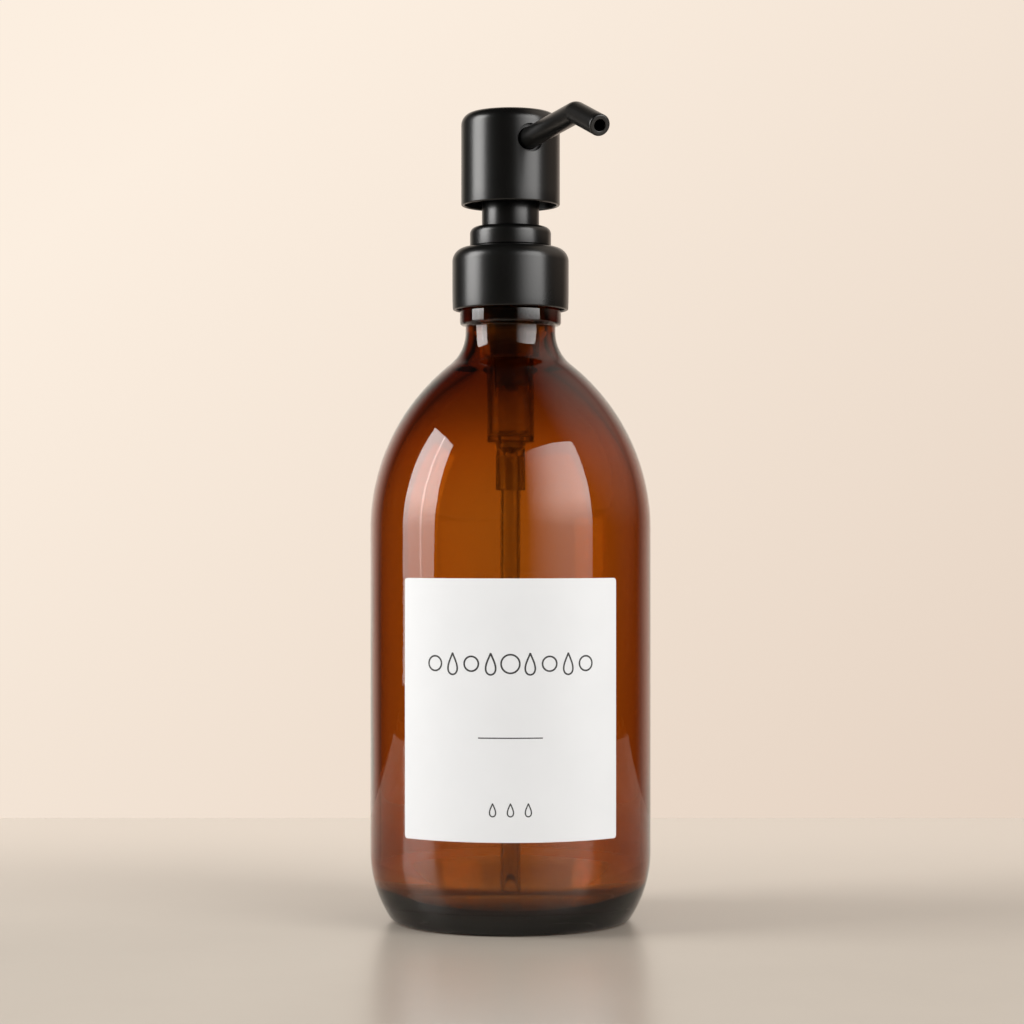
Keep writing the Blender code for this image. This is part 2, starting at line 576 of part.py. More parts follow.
def make_ball_cage(parent):
    """Slotted disc that keeps the inlet ball over its seat."""
    outer = BARREL_BORE - SEAT_GAP
    recess_z = CAGE_Z + CAGE_RECESS
    top = CAGE_Z + CAGE_THICKNESS
    pocket = INLET_POCKET + SEAT_GAP
    profile = [
        (pocket, CAGE_Z), (outer, CAGE_Z), (outer, top), (CAGE_HOLE, top), (CAGE_HOLE, recess_z),
        (pocket, recess_z),
    ]
    cage = turned("ball_cage", profile, INNER_FACETS, parent, NATURAL_PLASTIC)
    slot = block(
        "cage_slot_tool", (-CAGE_SLOT / 2, -CAGE_HOLE / 2, CAGE_Z - CAGE_THICKNESS),
        (CAGE_SLOT / 2, CAGE_HOLE / 2, top + CAGE_THICKNESS), parent,
    )
    slot.rotation_euler = (0, 0, CAGE_SLOT_TURN)
    boolean(cage, slot, "DIFFERENCE")


def make_dip_tube(parent):
    """Tube to the bottle's floor, cut off at a slant so that the floor can't close it."""
    foot = BASE_THICKNESS + FLOOR_CROWN + TUBE_FOOT - MOUTH_Z
    top = TUBE_TOP_Z - SEAT_GAP
    profile = [(TUBE_BORE, foot), (TUBE_RADIUS, foot), (TUBE_RADIUS, top), (TUBE_BORE, top)]
    tube = turned("dip_tube", profile, INNER_FACETS, parent, NATURAL_PLASTIC)
    wedge = block(
        "dip_tube_wedge_tool", (-3 * TUBE_RADIUS, -3 * TUBE_RADIUS, -2 * TUBE_RADIUS),
        (3 * TUBE_RADIUS, 3 * TUBE_RADIUS, 0), parent,
    )
    wedge.location = (0, 0, foot + TUBE_CUT)
    wedge.rotation_euler = (TUBE_SLANT, 0, 0)
    boolean(tube, wedge, "DIFFERENCE")


def make_balls(pump, head):
    """Each ball rests a gap above its 45 degree seat."""
    inlet = INLET_SEAT_Z - INLET_SEAT + math.sqrt(2) * (INLET_BALL_RADIUS + BALL_GAP)
    outlet = OUTLET_SEAT_Z - FLUID_BORE + math.sqrt(2) * (OUTLET_BALL_RADIUS + BALL_GAP)
    ball("inlet_ball", INLET_BALL_RADIUS, inlet, pump, VALVE_GLASS)
    ball("outlet_ball", OUTLET_BALL_RADIUS, outlet, head, VALVE_GLASS)


def make_spring(parent):
    """Round wire coil with a flattened turn at each end."""
    radius = SPRING_WIRE / 2
    steps = SPRING_TURNS * SPRING_FACETS
    climb = SPRING_LENGTH - SPRING_WIRE
    rings = []
    for i in range(steps + 1):
        share = i / steps
        # The end turns lie nearly flat: the climb eases in and out.
        ease = share - SPRING_EASE * math.sin(math.tau * share) / math.tau
        z = SPRING_FOOT_Z + radius + climb * ease
        angle = math.tau * SPRING_TURNS * share
        rings.append([
            (
                (SPRING_RADIUS + radius * math.cos(t)) * math.cos(angle),
                (SPRING_RADIUS + radius * math.cos(t)) * math.sin(angle),
                z + radius * math.sin(t),
            )
            for t in (math.tau * k / SPRING_SIDES for k in range(SPRING_SIDES))
        ])
    bm = bmesh.new()
    swept(bm, rings)
    mesh_object("spring", bm, parent, SPRING_STEEL)


# ---------------------------------------------------------------- closure and covers
def make_closure(parent):
    """Threaded plastic cap and the metal collar pressed over it."""
    corner_r = COLLAR_RADIUS - COLLAR_FILLET
    corner_z = COLLAR_TOP_Z - COLLAR_FILLET
    cap_corner = COLLAR_FILLET - COLLAR_WALL - SEAT_GAP
    cap_profile = (
        [(CAP_BORE, CAP_UNDER_Z), (CAP_BORE, CAP_FOOT_Z), (CAP_RADIUS, CAP_FOOT_Z)]
        + arc(corner_r, corner_z, cap_corner, 0, 90, 3)
        + [(CAP_HOLE, CAP_TOP_Z), (CAP_HOLE, CAP_UNDER_Z)]
    )
    cap = turned("closure_cap", cap_profile, COVER_FACETS, parent, BLACK_PLASTIC)
    low_z = THREAD_LOW_Z - CAP_THREAD_DROP
    ridge = thread(
        "cap_thread_tool", low_z, *CAP_THREAD_TURNS, CAP_BORE, FINISH_RADIUS + THREAD_GAP, parent
    )
    boolean(cap, ridge, "UNION")

    rim = COLLAR_RIM / 2
    collar_profile = (
        arc(COLLAR_RADIUS - COLLAR_TAPER - rim, COLLAR_FOOT_Z + rim, rim, 180, 360, 4)
        + [(COLLAR_RADIUS, COLLAR_FOOT_Z + COLLAR_STRAIGHT)]
        + arc(corner_r, corner_z, COLLAR_FILLET, 0, 90, 4)
        + [(CAP_HOLE, COLLAR_TOP_Z), (CAP_HOLE, COLLAR_TOP_Z - COLLAR_WALL)]
        + arc(corner_r, corner_z, COLLAR_FILLET - COLLAR_WALL, 90, 0, 4)
        + [(COLLAR_BORE, COLLAR_FOOT_Z + 3 * rim)]
    )
    turned("collar", collar_profile, COVER_FACETS, parent, COATED_METAL)


def make_ring_cover(parent):
    """Stepped metal cover over the guide bush's drum."""
    corner_r, corner_z = RING_RADIUS - RING_FILLET, RING_TOP_Z - RING_FILLET
    hole = COLUMN_RADIUS + SEAT_GAP
    profile = (
        [(RING_BORE, RING_FOOT_Z), (RING_RADIUS, RING_FOOT_Z)]
        + arc(corner_r, corner_z, RING_FILLET, 0, 90, 3)
        + [(hole, RING_TOP_Z), (hole, RING_TOP_Z - RING_WALL)]
        + arc(corner_r, corner_z, RING_FILLET - RING_WALL, 90, 0, 2)
    )
    turned("ring_cover", profile, COVER_FACETS, parent, COATED_METAL)


def make_column(parent):
    """Metal sleeve that stands on the drum and disappears into the head."""
    foot = DRUM_TOP_Z + SEAT_GAP
    bore = COLUMN_CORE + SEAT_GAP
    under = COLUMN_TOP_Z - COLUMN_WALL
    hole = max(GUIDE_BORE, HUB_RADIUS) + SLIDE_GAP
    profile = [
        (bore, foot), (COLUMN_RADIUS, foot), (COLUMN_RADIUS, COLUMN_TOP_Z - COLUMN_WALL),
        (COLUMN_RADIUS - COLUMN_WALL, COLUMN_TOP_Z), (hole, COLUMN_TOP_Z), (hole, under), (bore, under),
    ]
    turned("column_sleeve", profile, COVER_FACETS, parent, COATED_METAL)


# ---------------------------------------------------------------- plunger
def make_piston(parent):
    """Soft seal with a lip at each end."""
    lip = BARREL_BORE - PISTON_GAP
    waist = BARREL_BORE - PISTON_WAIST
    inner = PISTON_SLEEVE + SEAT_GAP
    low, high = PISTON_Z, PISTON_Z + PISTON_HEIGHT
    edge = PISTON_EDGE
    profile = [
        (inner, low), (waist - edge, low + edge), (lip, low), (lip, low + edge),
        (waist, low + 3 * edge), (waist, high - 3 * edge), (lip, high - edge), (lip, high),
        (waist - edge, high - edge), (inner, high),
    ]
    turned("piston", profile, INNER_FACETS, parent, SEAL_RUBBER)


def make_rod(parent):
    """Hollow rod that carries the piston and plugs into the stem."""
    flange = BARREL_BORE - ROD_FLANGE_GAP
    foot = PISTON_SLEEVE + ROD_FOOT_PROUD
    spigot = STEM_PLUG - SEAT_GAP
    shoulder = STEM_FOOT_Z - SEAT_GAP
    top = STEM_FOOT_Z + STEM_SOCKET - SEAT_GAP
    flange_top = ROD_FLANGE_Z + ROD_FLANGE
    profile = [
        (FLUID_BORE, ROD_FOOT_Z), (foot, ROD_FOOT_Z), (foot, ROD_FOOT_Z + ROD_FOOT),
        (PISTON_SLEEVE, ROD_FOOT_Z + ROD_FOOT), (PISTON_SLEEVE, ROD_FLANGE_Z),
        (flange, ROD_FLANGE_Z), (flange, flange_top), (ROD_RADIUS, flange_top),
        (ROD_RADIUS, shoulder), (spigot, shoulder), (spigot, top), (FLUID_BORE, top),
    ]
    turned("piston_rod", profile, INNER_FACETS, parent, NATURAL_PLASTIC)


def make_stem(parent):
    """Hollow stem from the rod to the head, with the outlet ball's seat at its top."""
    to_head = MOUTH_Z - parent.location.z
    shoulder = GUIDE_BORE - SLIDE_GAP
    shoulder_low = SHOULDER_Z + to_head
    foot = STEM_FOOT_Z + to_head
    socket_top = foot + STEM_SOCKET
    seat_top = OUTLET_SEAT_Z + OUTLET_POCKET - FLUID_BORE
    profile = [
        (STEM_PLUG, foot), (ROD_RADIUS, foot), (ROD_RADIUS, shoulder_low), (shoulder, shoulder_low),
        (shoulder, shoulder_low + STEM_SHOULDER), (STEM_RADIUS, shoulder_low + STEM_SHOULDER),
        (STEM_RADIUS, STEM_TOP_Z), (OUTLET_POCKET, STEM_TOP_Z), (OUTLET_POCKET, seat_top),
        (FLUID_BORE, OUTLET_SEAT_Z), (FLUID_BORE, socket_top), (STEM_PLUG, socket_top),
    ]
    turned("stem", profile, INNER_FACETS, parent, NATURAL_PLASTIC)


# ---------------------------------------------------------------- head
def spout_axis(distance):
    """Point on the spout's straight inner run, at a distance from the pump's axis, along -Y."""
    return Vector((0, -distance, SPOUT_AXIS_Z + distance * math.tan(SPOUT_RISE)))


def make_head_shell(parent):
    corner_r, corner_z = HEAD_RADIUS - HEAD_FILLET, HEAD_HEIGHT - HEAD_FILLET
    lip = HEAD_WALL / 2
    profile = (
        [(0, HEAD_HEIGHT)]
        + arc(corner_r, corner_z, HEAD_FILLET, 90, 0, 4)
        + arc(HEAD_RADIUS - lip, lip, lip, 0, -180, 3)
        + arc(corner_r, corner_z, HEAD_FILLET - HEAD_WALL, 0, 90, 3)
        + [(0, HEAD_HEIGHT - HEAD_WALL)]
    )
    shell = turned("head_shell", profile, COVER_FACETS, parent, COATED_METAL)
    hole = rod(
        "spout_hole_tool", SPOUT_RADIUS + SPOUT_HOLE_ROOM, spout_axis(HEAD_BORE - HEAD_FILLET),
        spout_axis(HEAD_RADIUS + HEAD_FILLET), SPOUT_SIDES, parent,
    )
    boolean(shell, hole, "DIFFERENCE")


def make_head_core(parent):
    """Plastic insert: hub round the stem, ribs, skirt, and a boss for the spout with its channels."""
    disc_top = HEAD_HEIGHT - HEAD_WALL - SEAT_GAP
    disc_low = disc_top - CORE_DISC
    chamfer = HEAD_FILLET - HEAD_WALL
    skirt_foot = BOSS_FOOT_Z + CORE_SKIRT_GAP
    profile = [
        (0, STEM_CEILING_Z), (STEM_HOLE, STEM_CEILING_Z), (STEM_HOLE, HUB_FOOT_Z),
        (HUB_RADIUS, HUB_FOOT_Z), (HUB_RADIUS, disc_low), (CORE_RADIUS - CORE_SKIRT, disc_low),
        (CORE_RADIUS - CORE_SKIRT, skirt_foot), (CORE_RADIUS, skirt_foot),
        (CORE_RADIUS, disc_top - chamfer), (CORE_RADIUS - chamfer, disc_top), (0, disc_top),
    ]
    core = turned("head_core", profile, INNER_FACETS, parent, BLACK_PLASTIC)
    boss_end = math.sqrt(CORE_RADIUS**2 - BOSS_RADIUS**2)
    boss = rod(
        "boss_tool", BOSS_RADIUS, spout_axis(CORE_SKIRT / 2), spout_axis(boss_end), SPOUT_SIDES, parent
    )
    boolean(core, boss, "UNION")
    for i in range(RIB_COUNT):
        rib = block(
            f"rib_tool_{i}", (HUB_RADIUS - RIB_EMBED, -CORE_RIB / 2, skirt_foot + RIB_RISE),
            (CORE_RADIUS - CORE_SKIRT / 2, CORE_RIB / 2, disc_low + CORE_DISC / 2), parent,
        )
        rib.rotation_euler = (0, 0, math.tau * i / (RIB_COUNT + 1))
        boolean(core, rib, "UNION")
    socket = rod(
        "spout_socket_tool", SPOUT_SOCKET, spout_axis(SPOUT_INNER_END - SEAT_GAP),
        spout_axis(HEAD_RADIUS + HEAD_FILLET), SPOUT_SIDES, parent,
    )
    channel = rod(
        "channel_tool", SPOUT_BORE, spout_axis(0), spout_axis(SPOUT_INNER_END + SPOUT_RADIUS),
        HOLE_FACETS, parent,
    )
    riser = rod(
        "riser_tool", RISER_BORE, (0, 0, STEM_CEILING_Z - HUB_WALL), (0, 0, SPOUT_AXIS_Z),
        HOLE_FACETS, parent,
    )
    # Grooves beside the riser let the soap past the outlet ball when it is lifted.
    groove = block(
        "riser_groove_tool", (-OUTLET_POCKET, -FLUID_BORE / 2, STEM_CEILING_Z - HUB_WALL / 2),
        (OUTLET_POCKET, FLUID_BORE / 2, STEM_CEILING_Z + HUB_WALL / 2), parent,
    )
    for tool in (socket, channel, riser, groove):
        boolean(core, tool, "DIFFERENCE")


def spout_path():
    """Centre line: a rising run, a tight bend and a drooping tip, as (distance, height, slope)."""
    turn = SPOUT_RISE + SPOUT_DROP
    tangent = SPOUT_BEND_RADIUS * math.tan(turn / 2)
    corner = spout_axis(SPOUT_BEND)
    # Centre of the bend, below the corner on the line that halves the angle.
    start_d = -corner.y - tangent * math.cos(SPOUT_RISE)
    start_z = corner.z - tangent * math.sin(SPOUT_RISE)
    centre_d = start_d + SPOUT_BEND_RADIUS * math.sin(SPOUT_RISE)
    centre_z = start_z - SPOUT_BEND_RADIUS * math.cos(SPOUT_RISE)
    inner = spout_axis(SPOUT_INNER_END)
    path = [(-inner.y, inner.z, SPOUT_RISE)]
    for i in range(SPOUT_BEND_STEPS + 1):
        slope = SPOUT_RISE - turn * i / SPOUT_BEND_STEPS
        path.append((
            centre_d - SPOUT_BEND_RADIUS * math.sin(slope),
            centre_z + SPOUT_BEND_RADIUS * math.cos(slope),
            slope,
        ))
    last_d, last_z, _ = path[-1]
    back = SPOUT_CHAMFER * math.cos(SPOUT_DROP)
    for d in (SPOUT_REACH - back, SPOUT_REACH):
        path.append((d, last_z - (d - last_d) * math.tan(SPOUT_DROP), -SPOUT_DROP))
    return path


def make_spout(parent):
    """Bent metal tube, open at both ends."""
    path = spout_path()
    outer = [SPOUT_RADIUS] * (len(path) - 1) + [SPOUT_RADIUS - SPOUT_CHAMFER]
    bm = bmesh.new()

    def ring(place, radius):
        distance, height, slope = place
        up = Vector((0, math.sin(slope), math.cos(slope)))
        centre = Vector((0, -distance, height))
        angles = [math.tau * (k + 0.5) / SPOUT_SIDES for k in range(SPOUT_SIDES)]
        return [centre + radius * (math.cos(a) * up + math.sin(a) * Vector((1, 0, 0))) for a in angles]

    skin = swept(bm, [ring(p, r) for p, r in zip(path, outer)], closed_section=False)
    bore = swept(bm, [ring(p, SPOUT_BORE) for p in path], closed_section=False)
    for a, b in ((skin[0], bore[0]), (skin[-1], bore[-1])):
        for i in range(SPOUT_SIDES):
            j = (i + 1) % SPOUT_SIDES
            bm.faces.new((a[i], a[j], b[j], b[i]))
    mesh_object("spout", bm, parent, COATED_METAL)


# ---------------------------------------------------------------- assembly
def main():
    for obj in list(bpy.data.objects):
        bpy.data.objects.remove(obj)

    bottle = frame("bottle_frame", 0)
    pump = frame("pump_frame", MOUTH_Z)
    closure = frame("closure_frame", MOUTH_Z)
    plunger = frame("plunger_frame", MOUTH_Z)
    head = frame("head_frame", MOUTH_Z + HEAD_FOOT_Z, turn=SPOUT_TURN)
    mouth = frame("mouth_frame", MOUTH_Z)

    make_bottle(bottle, mouth)
    make_label(bottle)
    make_gasket(pump)
    make_housing(pump)
    make_guide_bush(pump)
    make_ball_cage(pump)
    make_dip_tube(pump)
    make_balls(pump, head)
    make_spring(pump)
    make_closure(closure)
    make_ring_cover(pump)
    make_column(pump)
    make_piston(plunger)
    make_rod(plunger)
    make_stem(head)
    make_head_shell(head)
    make_head_core(head)
    make_spout(head)


main()
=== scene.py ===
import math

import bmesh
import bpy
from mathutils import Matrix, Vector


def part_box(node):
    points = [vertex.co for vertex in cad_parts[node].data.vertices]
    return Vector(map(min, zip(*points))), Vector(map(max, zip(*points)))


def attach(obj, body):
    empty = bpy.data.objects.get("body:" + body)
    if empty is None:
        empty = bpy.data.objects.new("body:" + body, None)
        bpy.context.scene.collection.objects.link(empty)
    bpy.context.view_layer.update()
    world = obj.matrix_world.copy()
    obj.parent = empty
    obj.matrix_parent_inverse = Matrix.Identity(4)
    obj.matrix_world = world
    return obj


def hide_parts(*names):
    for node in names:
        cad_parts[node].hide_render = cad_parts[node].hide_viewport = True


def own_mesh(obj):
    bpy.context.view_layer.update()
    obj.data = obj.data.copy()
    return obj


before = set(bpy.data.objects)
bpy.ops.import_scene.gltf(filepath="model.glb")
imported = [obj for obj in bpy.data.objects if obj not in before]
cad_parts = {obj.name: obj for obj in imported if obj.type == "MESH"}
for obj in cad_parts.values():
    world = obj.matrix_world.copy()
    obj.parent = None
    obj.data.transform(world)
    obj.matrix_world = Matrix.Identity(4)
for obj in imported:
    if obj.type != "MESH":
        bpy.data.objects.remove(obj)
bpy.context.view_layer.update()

# Looks of the soap pump dispenser.  Each CAD node is shown by a fine, smooth piece of the same outer
# size that rides on the same body.  Only the looks have the print on the label, the hollow under the
# base and the thicker glass under the neck.  Metres, +Z up, the bottle's base at the origin, its
# label facing -Y.

MM = 0.001


# ---------------------------------------------------------------- sizes read from the frame
def top(node):
    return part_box(node)[1].z


def foot(node):
    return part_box(node)[0].z


def half_width(node):
    low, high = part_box(node)
    return (high.x - low.x) / 2


BODY_RADIUS = half_width("bottle")
MOUTH_Z = top("bottle")
COLLAR_RADIUS = half_width("collar")
COLLAR_FOOT, COLLAR_TOP = foot("collar"), top("collar")
CAP_FOOT, CAP_TOP = foot("closure_cap"), top("closure_cap")
RING_RADIUS = half_width("ring_cover")
RING_FOOT, RING_TOP = foot("ring_cover"), top("ring_cover")
COLUMN_RADIUS = half_width("column_sleeve")
COLUMN_FOOT, COLUMN_TOP = foot("column_sleeve"), top("column_sleeve")
HEAD_RADIUS = half_width("head_shell")
HEAD_FOOT, HEAD_TOP = foot("head_shell"), top("head_shell")
LABEL_FOOT, LABEL_TOP = foot("label"), top("label")

# ---------------------------------------------------------------- sizes of the shapes themselves
# Bottle
NECK_RADIUS = 12.2 * MM
BODY_TOP = 106.0 * MM
SHOULDER_ARC = 57.0 * MM
NECK_ARC = 11.5 * MM
HEEL_ARC, HEEL_TOP = 33.0 * MM, 19.0 * MM
BASE_FILLET = 3.0 * MM
PUSH_UP = 1.3 * MM           # hollow under the base
GLASS_WALL = 2.7 * MM
SHOULDER_GLASS = 4.4 * MM    # wall where the shoulder meets the neck
FLOOR_THICKNESS = 4.5 * MM
FLOOR_CROWN = 1.6 * MM
FLOOR_CORNER = 9.0 * MM
MOUTH_BORE = 9.5 * MM
BEAD_RADIUS = 13.75 * MM
BEAD_HEIGHT = 4.8 * MM
BEAD_FILLET, BEAD_FOOT_FILLET, BEAD_ROOT_FILLET = 0.9 * MM, 0.5 * MM, 0.4 * MM
LIP_FILLET = 1.1 * MM
CONTACT_INSET = 1.5 * MM     # from the centre of the base's fillet in to the edge of the push-up
PLAIN_LOW, PLAIN_HIGH = 0.45 * MM, 1.5 * MM     # of the finish, below and above its fine rows
FINISH_RADIUS = 12.5 * MM
FINISH_HEIGHT = 10.9 * MM
# Screw thread
THREAD_DEPTH = 1.1 * MM
THREAD_PITCH = 4.233 * MM
THREAD_TURNS = 1.5
THREAD_LOW = MOUTH_Z - 8.35 * MM
THREAD_HALF_ROOT, THREAD_HALF_CREST = 1.05 * MM, 0.5 * MM
THREAD_RUN_OUT = 0.08        # turns over which each end fades
# Closure and covers
CAP_RADIUS, CAP_BORE, CAP_HOLE = 14.9 * MM, 13.95 * MM, 10.0 * MM
CAP_PLATE = 1.5 * MM
CAP_THREAD_DROP = 1.9 * MM
COVER_WALL = 0.6 * MM
COLUMN_WALL, COLUMN_HOLE = 0.47 * MM, 5.7 * MM
COLUMN_EASE = 0.12 * MM      # ring cover's hole round the column
COLLAR_RIM, COLLAR_TAPER, TAPER_HEIGHT = 0.5 * MM, 0.1 * MM, 5 * MM
CAP_EDGE, CAP_PLAIN_LOW, CAP_PLAIN_HIGH = 0.25 * MM, 0.4 * MM, 1.0 * MM
CAP_THREAD_FIRST, CAP_THREAD_LAST = 0.3, 1.4     # turns
RING_EDGE, RING_BEND = 0.2 * MM, 3 * MM
COLLAR_FILLET, RING_FILLET = 3.8 * MM, 1.9 * MM
# Head and spout
HEAD_WALL, HEAD_FILLET = 0.9 * MM, 3.4 * MM
SPOUT_TURN = math.radians(24)
SPOUT_RADIUS, SPOUT_BORE = 2.85 * MM, 1.5 * MM
SPOUT_RISE, SPOUT_DROP = math.radians(5), math.radians(21)
SPOUT_AXIS = HEAD_FOOT + 15.67 * MM
SPOUT_START, SPOUT_BEND, SPOUT_REACH = 3.8 * MM, 41.4 * MM, 55.6 * MM
SPOUT_BEND_ARC = 3.4 * MM
SPOUT_HOLE = SPOUT_RADIUS + 0.95 * MM

ROUND = 160                  # facets round the large turned pieces
SMALL_ROUND = 96


# ---------------------------------------------------------------- mesh tools
def arc(centre_r, centre_z, radius, start, end, steps):
    """Points on an arc, from start to end in degrees, both ends included."""
    angles = [math.radians(start + (end - start) * i / steps) for i in range(steps + 1)]
    return [(centre_r + radius * math.cos(a), centre_z + radius * math.sin(a)) for a in angles]


def softened(corners, steps=4):
    """A closed outline from (r, z) corners, or (r, z, fillet) where a corner is rounded."""
    points = []
    count = len(corners)
    for i, corner in enumerate(corners):
        here = Vector(corner[:2])
        fillet = corner[2] if len(corner) > 2 else 0
        if not fillet:
            points.append(tuple(here))
            continue
        back = (Vector(corners[i - 1][:2]) - here).normalized()
        ahead = (Vector(corners[(i + 1) % count][:2]) - here).normalized()
        half = back.angle(ahead) / 2
        reach = fillet / math.tan(half)
        centre = here + (back + ahead).normalized() * fillet / math.sin(half)
        spoke = here + back * reach - centre
        start = math.atan2(spoke.y, spoke.x)
        sweep = math.copysign(math.pi - 2 * half, back.x * ahead.y - back.y * ahead.x)
        for k in range(steps + 1):
            angle = start - sweep * k / steps
            points.append((centre.x + fillet * math.cos(angle), centre.y + fillet * math.sin(angle)))
    return points


def finish_mesh(name, bm, sharp=35):
    """Turns a bmesh into a smooth-shaded object with creases above an angle in degrees."""
    bmesh.ops.remove_doubles(bm, verts=bm.verts, dist=1e-7)
    bmesh.ops.recalc_face_normals(bm, faces=bm.faces)
    mesh = bpy.data.meshes.new(name)
    bm.to_mesh(mesh)
    bm.free()
    mesh.shade_smooth()
    mesh.set_sharp_from_angle(angle=math.radians(sharp))
    obj = bpy.data.objects.new(name, mesh)
    bpy.context.scene.collection.objects.link(obj)
    return obj


def revolve(name, profile, facets=ROUND, ridge=None, sharp=35):
    """A closed (r, z) outline turned about Z.  ridge(angle, r, z) moves a point outwards."""
    bm = bmesh.new()
    rings = []
    for r, z in profile:
        if r < 1e-9:
            rings.append([bm.verts.new((0, 0, z))])
            continue
        ring = []
        for i in range(facets):
            angle = math.tau * i / facets
            out = r + (ridge(angle, r, z) if ridge else 0)
            ring.append(bm.verts.new((out * math.cos(angle), out * math.sin(angle), z)))
        rings.append(ring)
    for a, b in zip(rings, rings[1:] + rings[:1]):
        if len(a) == 1 and len(b) == 1:
            continue
        for i in range(facets):
            j = (i + 1) % facets
            corners = [a[i % len(a)], a[j % len(a)], b[j % len(b)], b[i % len(b)]]
            unique = list(dict.fromkeys(corners))
            bm.faces.new(unique)
    return finish_mesh(name, bm, sharp)


def skin(bm, rings, caps=True):
    """Joins rings of points, all with the same count, into a tube."""
    loops = [[bm.verts.new(p) for p in ring] for ring in rings]
    count = len(loops[0])
    for a, b in zip(loops, loops[1:]):
        for i in range(count):
            j = (i + 1) % count
            bm.faces.new((a[i], a[j], b[j], b[i]))
    if caps:
        bm.faces.new(loops[0][::-1])
        bm.faces.new(loops[-1])
    return loops


def closed_skin(bm, rings):
    """Like skin, with the last ring joined back to the first."""
    loops = skin(bm, rings, caps=False)
    count = len(loops[0])
    for i in range(count):
        j = (i + 1) % count
        bm.faces.new((loops[-1][i], loops[-1][j], loops[0][j], loops[0][i]))


def cut(obj, tools, operation="DIFFERENCE"):
    """Applies a boolean with each tool and removes the tools."""
    for tool in tools:
        modifier = obj.modifiers.new("cut", "BOOLEAN")
        modifier.object = tool
        modifier.operation = operation
        modifier.solver = "EXACT"
    graph = bpy.context.evaluated_depsgraph_get()
    mesh = bpy.data.meshes.new_from_object(obj.evaluated_get(graph))
    obj.modifiers.clear()
    obj.data = mesh
    mesh.set_sharp_from_angle(angle=math.radians(35))
    for tool in tools:
        bpy.data.objects.remove(tool)


def bar(name, radius, start, end, facets=48):
    """A solid cylinder between two points."""
    start, end = Vector(start), Vector(end)
    along = end - start
    side = along.orthogonal().normalized()
    other = along.normalized().cross(side)
    angles = [math.tau * k / facets for k in range(facets)]
    spokes = [radius * (math.cos(a) * side + math.sin(a) * other) for a in angles]
    bm = bmesh.new()
    skin(bm, [[start + s for s in spokes], [end + s for s in spokes]])
    return finish_mesh(name, bm)


def slab(name, low, high, turn=0.0):
    """A box between two corners, turned about Z."""
    bm = bmesh.new()
    bmesh.ops.create_cube(bm, size=1)
    size = Vector(high) - Vector(low)
    bmesh.ops.scale(bm, vec=size, verts=bm.verts)
    bmesh.ops.translate(bm, vec=(Vector(low) + Vector(high)) / 2, verts=bm.verts)
    cosine, sine = math.cos(turn), math.sin(turn)
    for v in bm.verts:
        v.co.x, v.co.y = v.co.x * cosine - v.co.y * sine, v.co.x * sine + v.co.y * cosine
    return finish_mesh(name, bm)


def thread_ridge(low_z, first, last, root, depth):
    """Ridge function of a right-handed screw thread; depth is negative where it points inwards."""
    def ridge(angle, r, z):
        if abs(r - root) > 1e-6:
            return 0.0
        best = 0.0
        for whole in range(-1, math.ceil(last) + 1):
            turns = angle / math.tau + whole
            if not first <= turns <= last:
                continue
            away = abs(z - (low_z + THREAD_PITCH * turns))
            slope = (THREAD_HALF_ROOT - away) / (THREAD_HALF_ROOT - THREAD_HALF_CREST)
            rise = min(1.0, max(0.0, slope))
            run_out = min(1.0, (turns - first) / THREAD_RUN_OUT, (last - turns) / THREAD_RUN_OUT)
            best = max(best, rise * rise * (3 - 2 * rise) * run_out)
        return best * depth
    return ridge


# ---------------------------------------------------------------- node helpers
def connect(tree, node, sockets):
    """Sets a node's inputs; each is a value or the socket it is linked to."""
    for socket, value in sockets.items():
        if isinstance(value, bpy.types.NodeSocket):
            tree.links.new(value, node.inputs[socket])
        else:
            node.inputs[socket].default_value = value


def add(tree, kind, inputs=None, **settings):
    """A new shader node with its settings and its inputs."""
    node = tree.nodes.new(kind)
    for key, value in settings.items():
        setattr(node, key, value)
    connect(tree, node, inputs or {})
    return node


def ramp(tree, factor, stops):
    """Colour ramp from (position, grey or colour) stops."""
    node = add(tree, "ShaderNodeValToRGB", {0: factor})
    ends = node.color_ramp.elements
    while len(ends) < len(stops):
        ends.new(0.5)
    for element, (position, colour) in zip(ends, stops):
        element.position = position
        grey = isinstance(colour, (int, float))
        element.color = (colour, colour, colour, 1) if grey else (*colour, 1)
    return node.outputs[0]


def noise(tree, scale, detail=2.0, roughness=0.5, stretch=(1, 1, 1)):
    """Noise in the piece's own space; scale is in cycles per metre."""
    spot = add(tree, "ShaderNodeTexCoord")
    mapped = add(tree, "ShaderNodeMapping", {"Vector": spot.outputs["Object"], "Scale": stretch})
    field = add(
        tree, "ShaderNodeTexNoise",
        {"Vector": mapped.outputs[0], "Scale": scale, "Detail": detail, "Roughness": roughness},
    )
    return field.outputs[0]


def bump(tree, height, strength, distance):
    node = add(
        tree, "ShaderNodeBump", {"Height": height, "Strength": strength, "Distance": distance}
    )
    return node.outputs[0]


def mixed(tree, factor, first, second, blend="MIX"):
    """A colour mix of two colours or sockets."""
    node = add(
        tree, "ShaderNodeMix", {"Factor": factor, 6: first, 7: second}, data_type="RGBA", blend_type=blend,
    )
    return node.outputs[2]


def surface(name):
    """A new material with its tree and its Principled shader."""
    material = bpy.data.materials.new(name)
    material.use_nodes = True
    tree = material.node_tree
    return material, tree, tree.nodes["Principled BSDF"]


# ---------------------------------------------------------------- materials
GLASS_IOR = 1.52
GLASS_COLOUR = (0.818, 0.576, 0.06, 1)
GLASS_DENSITY = 1050.0       # absorption per metre is this times one minus the colour


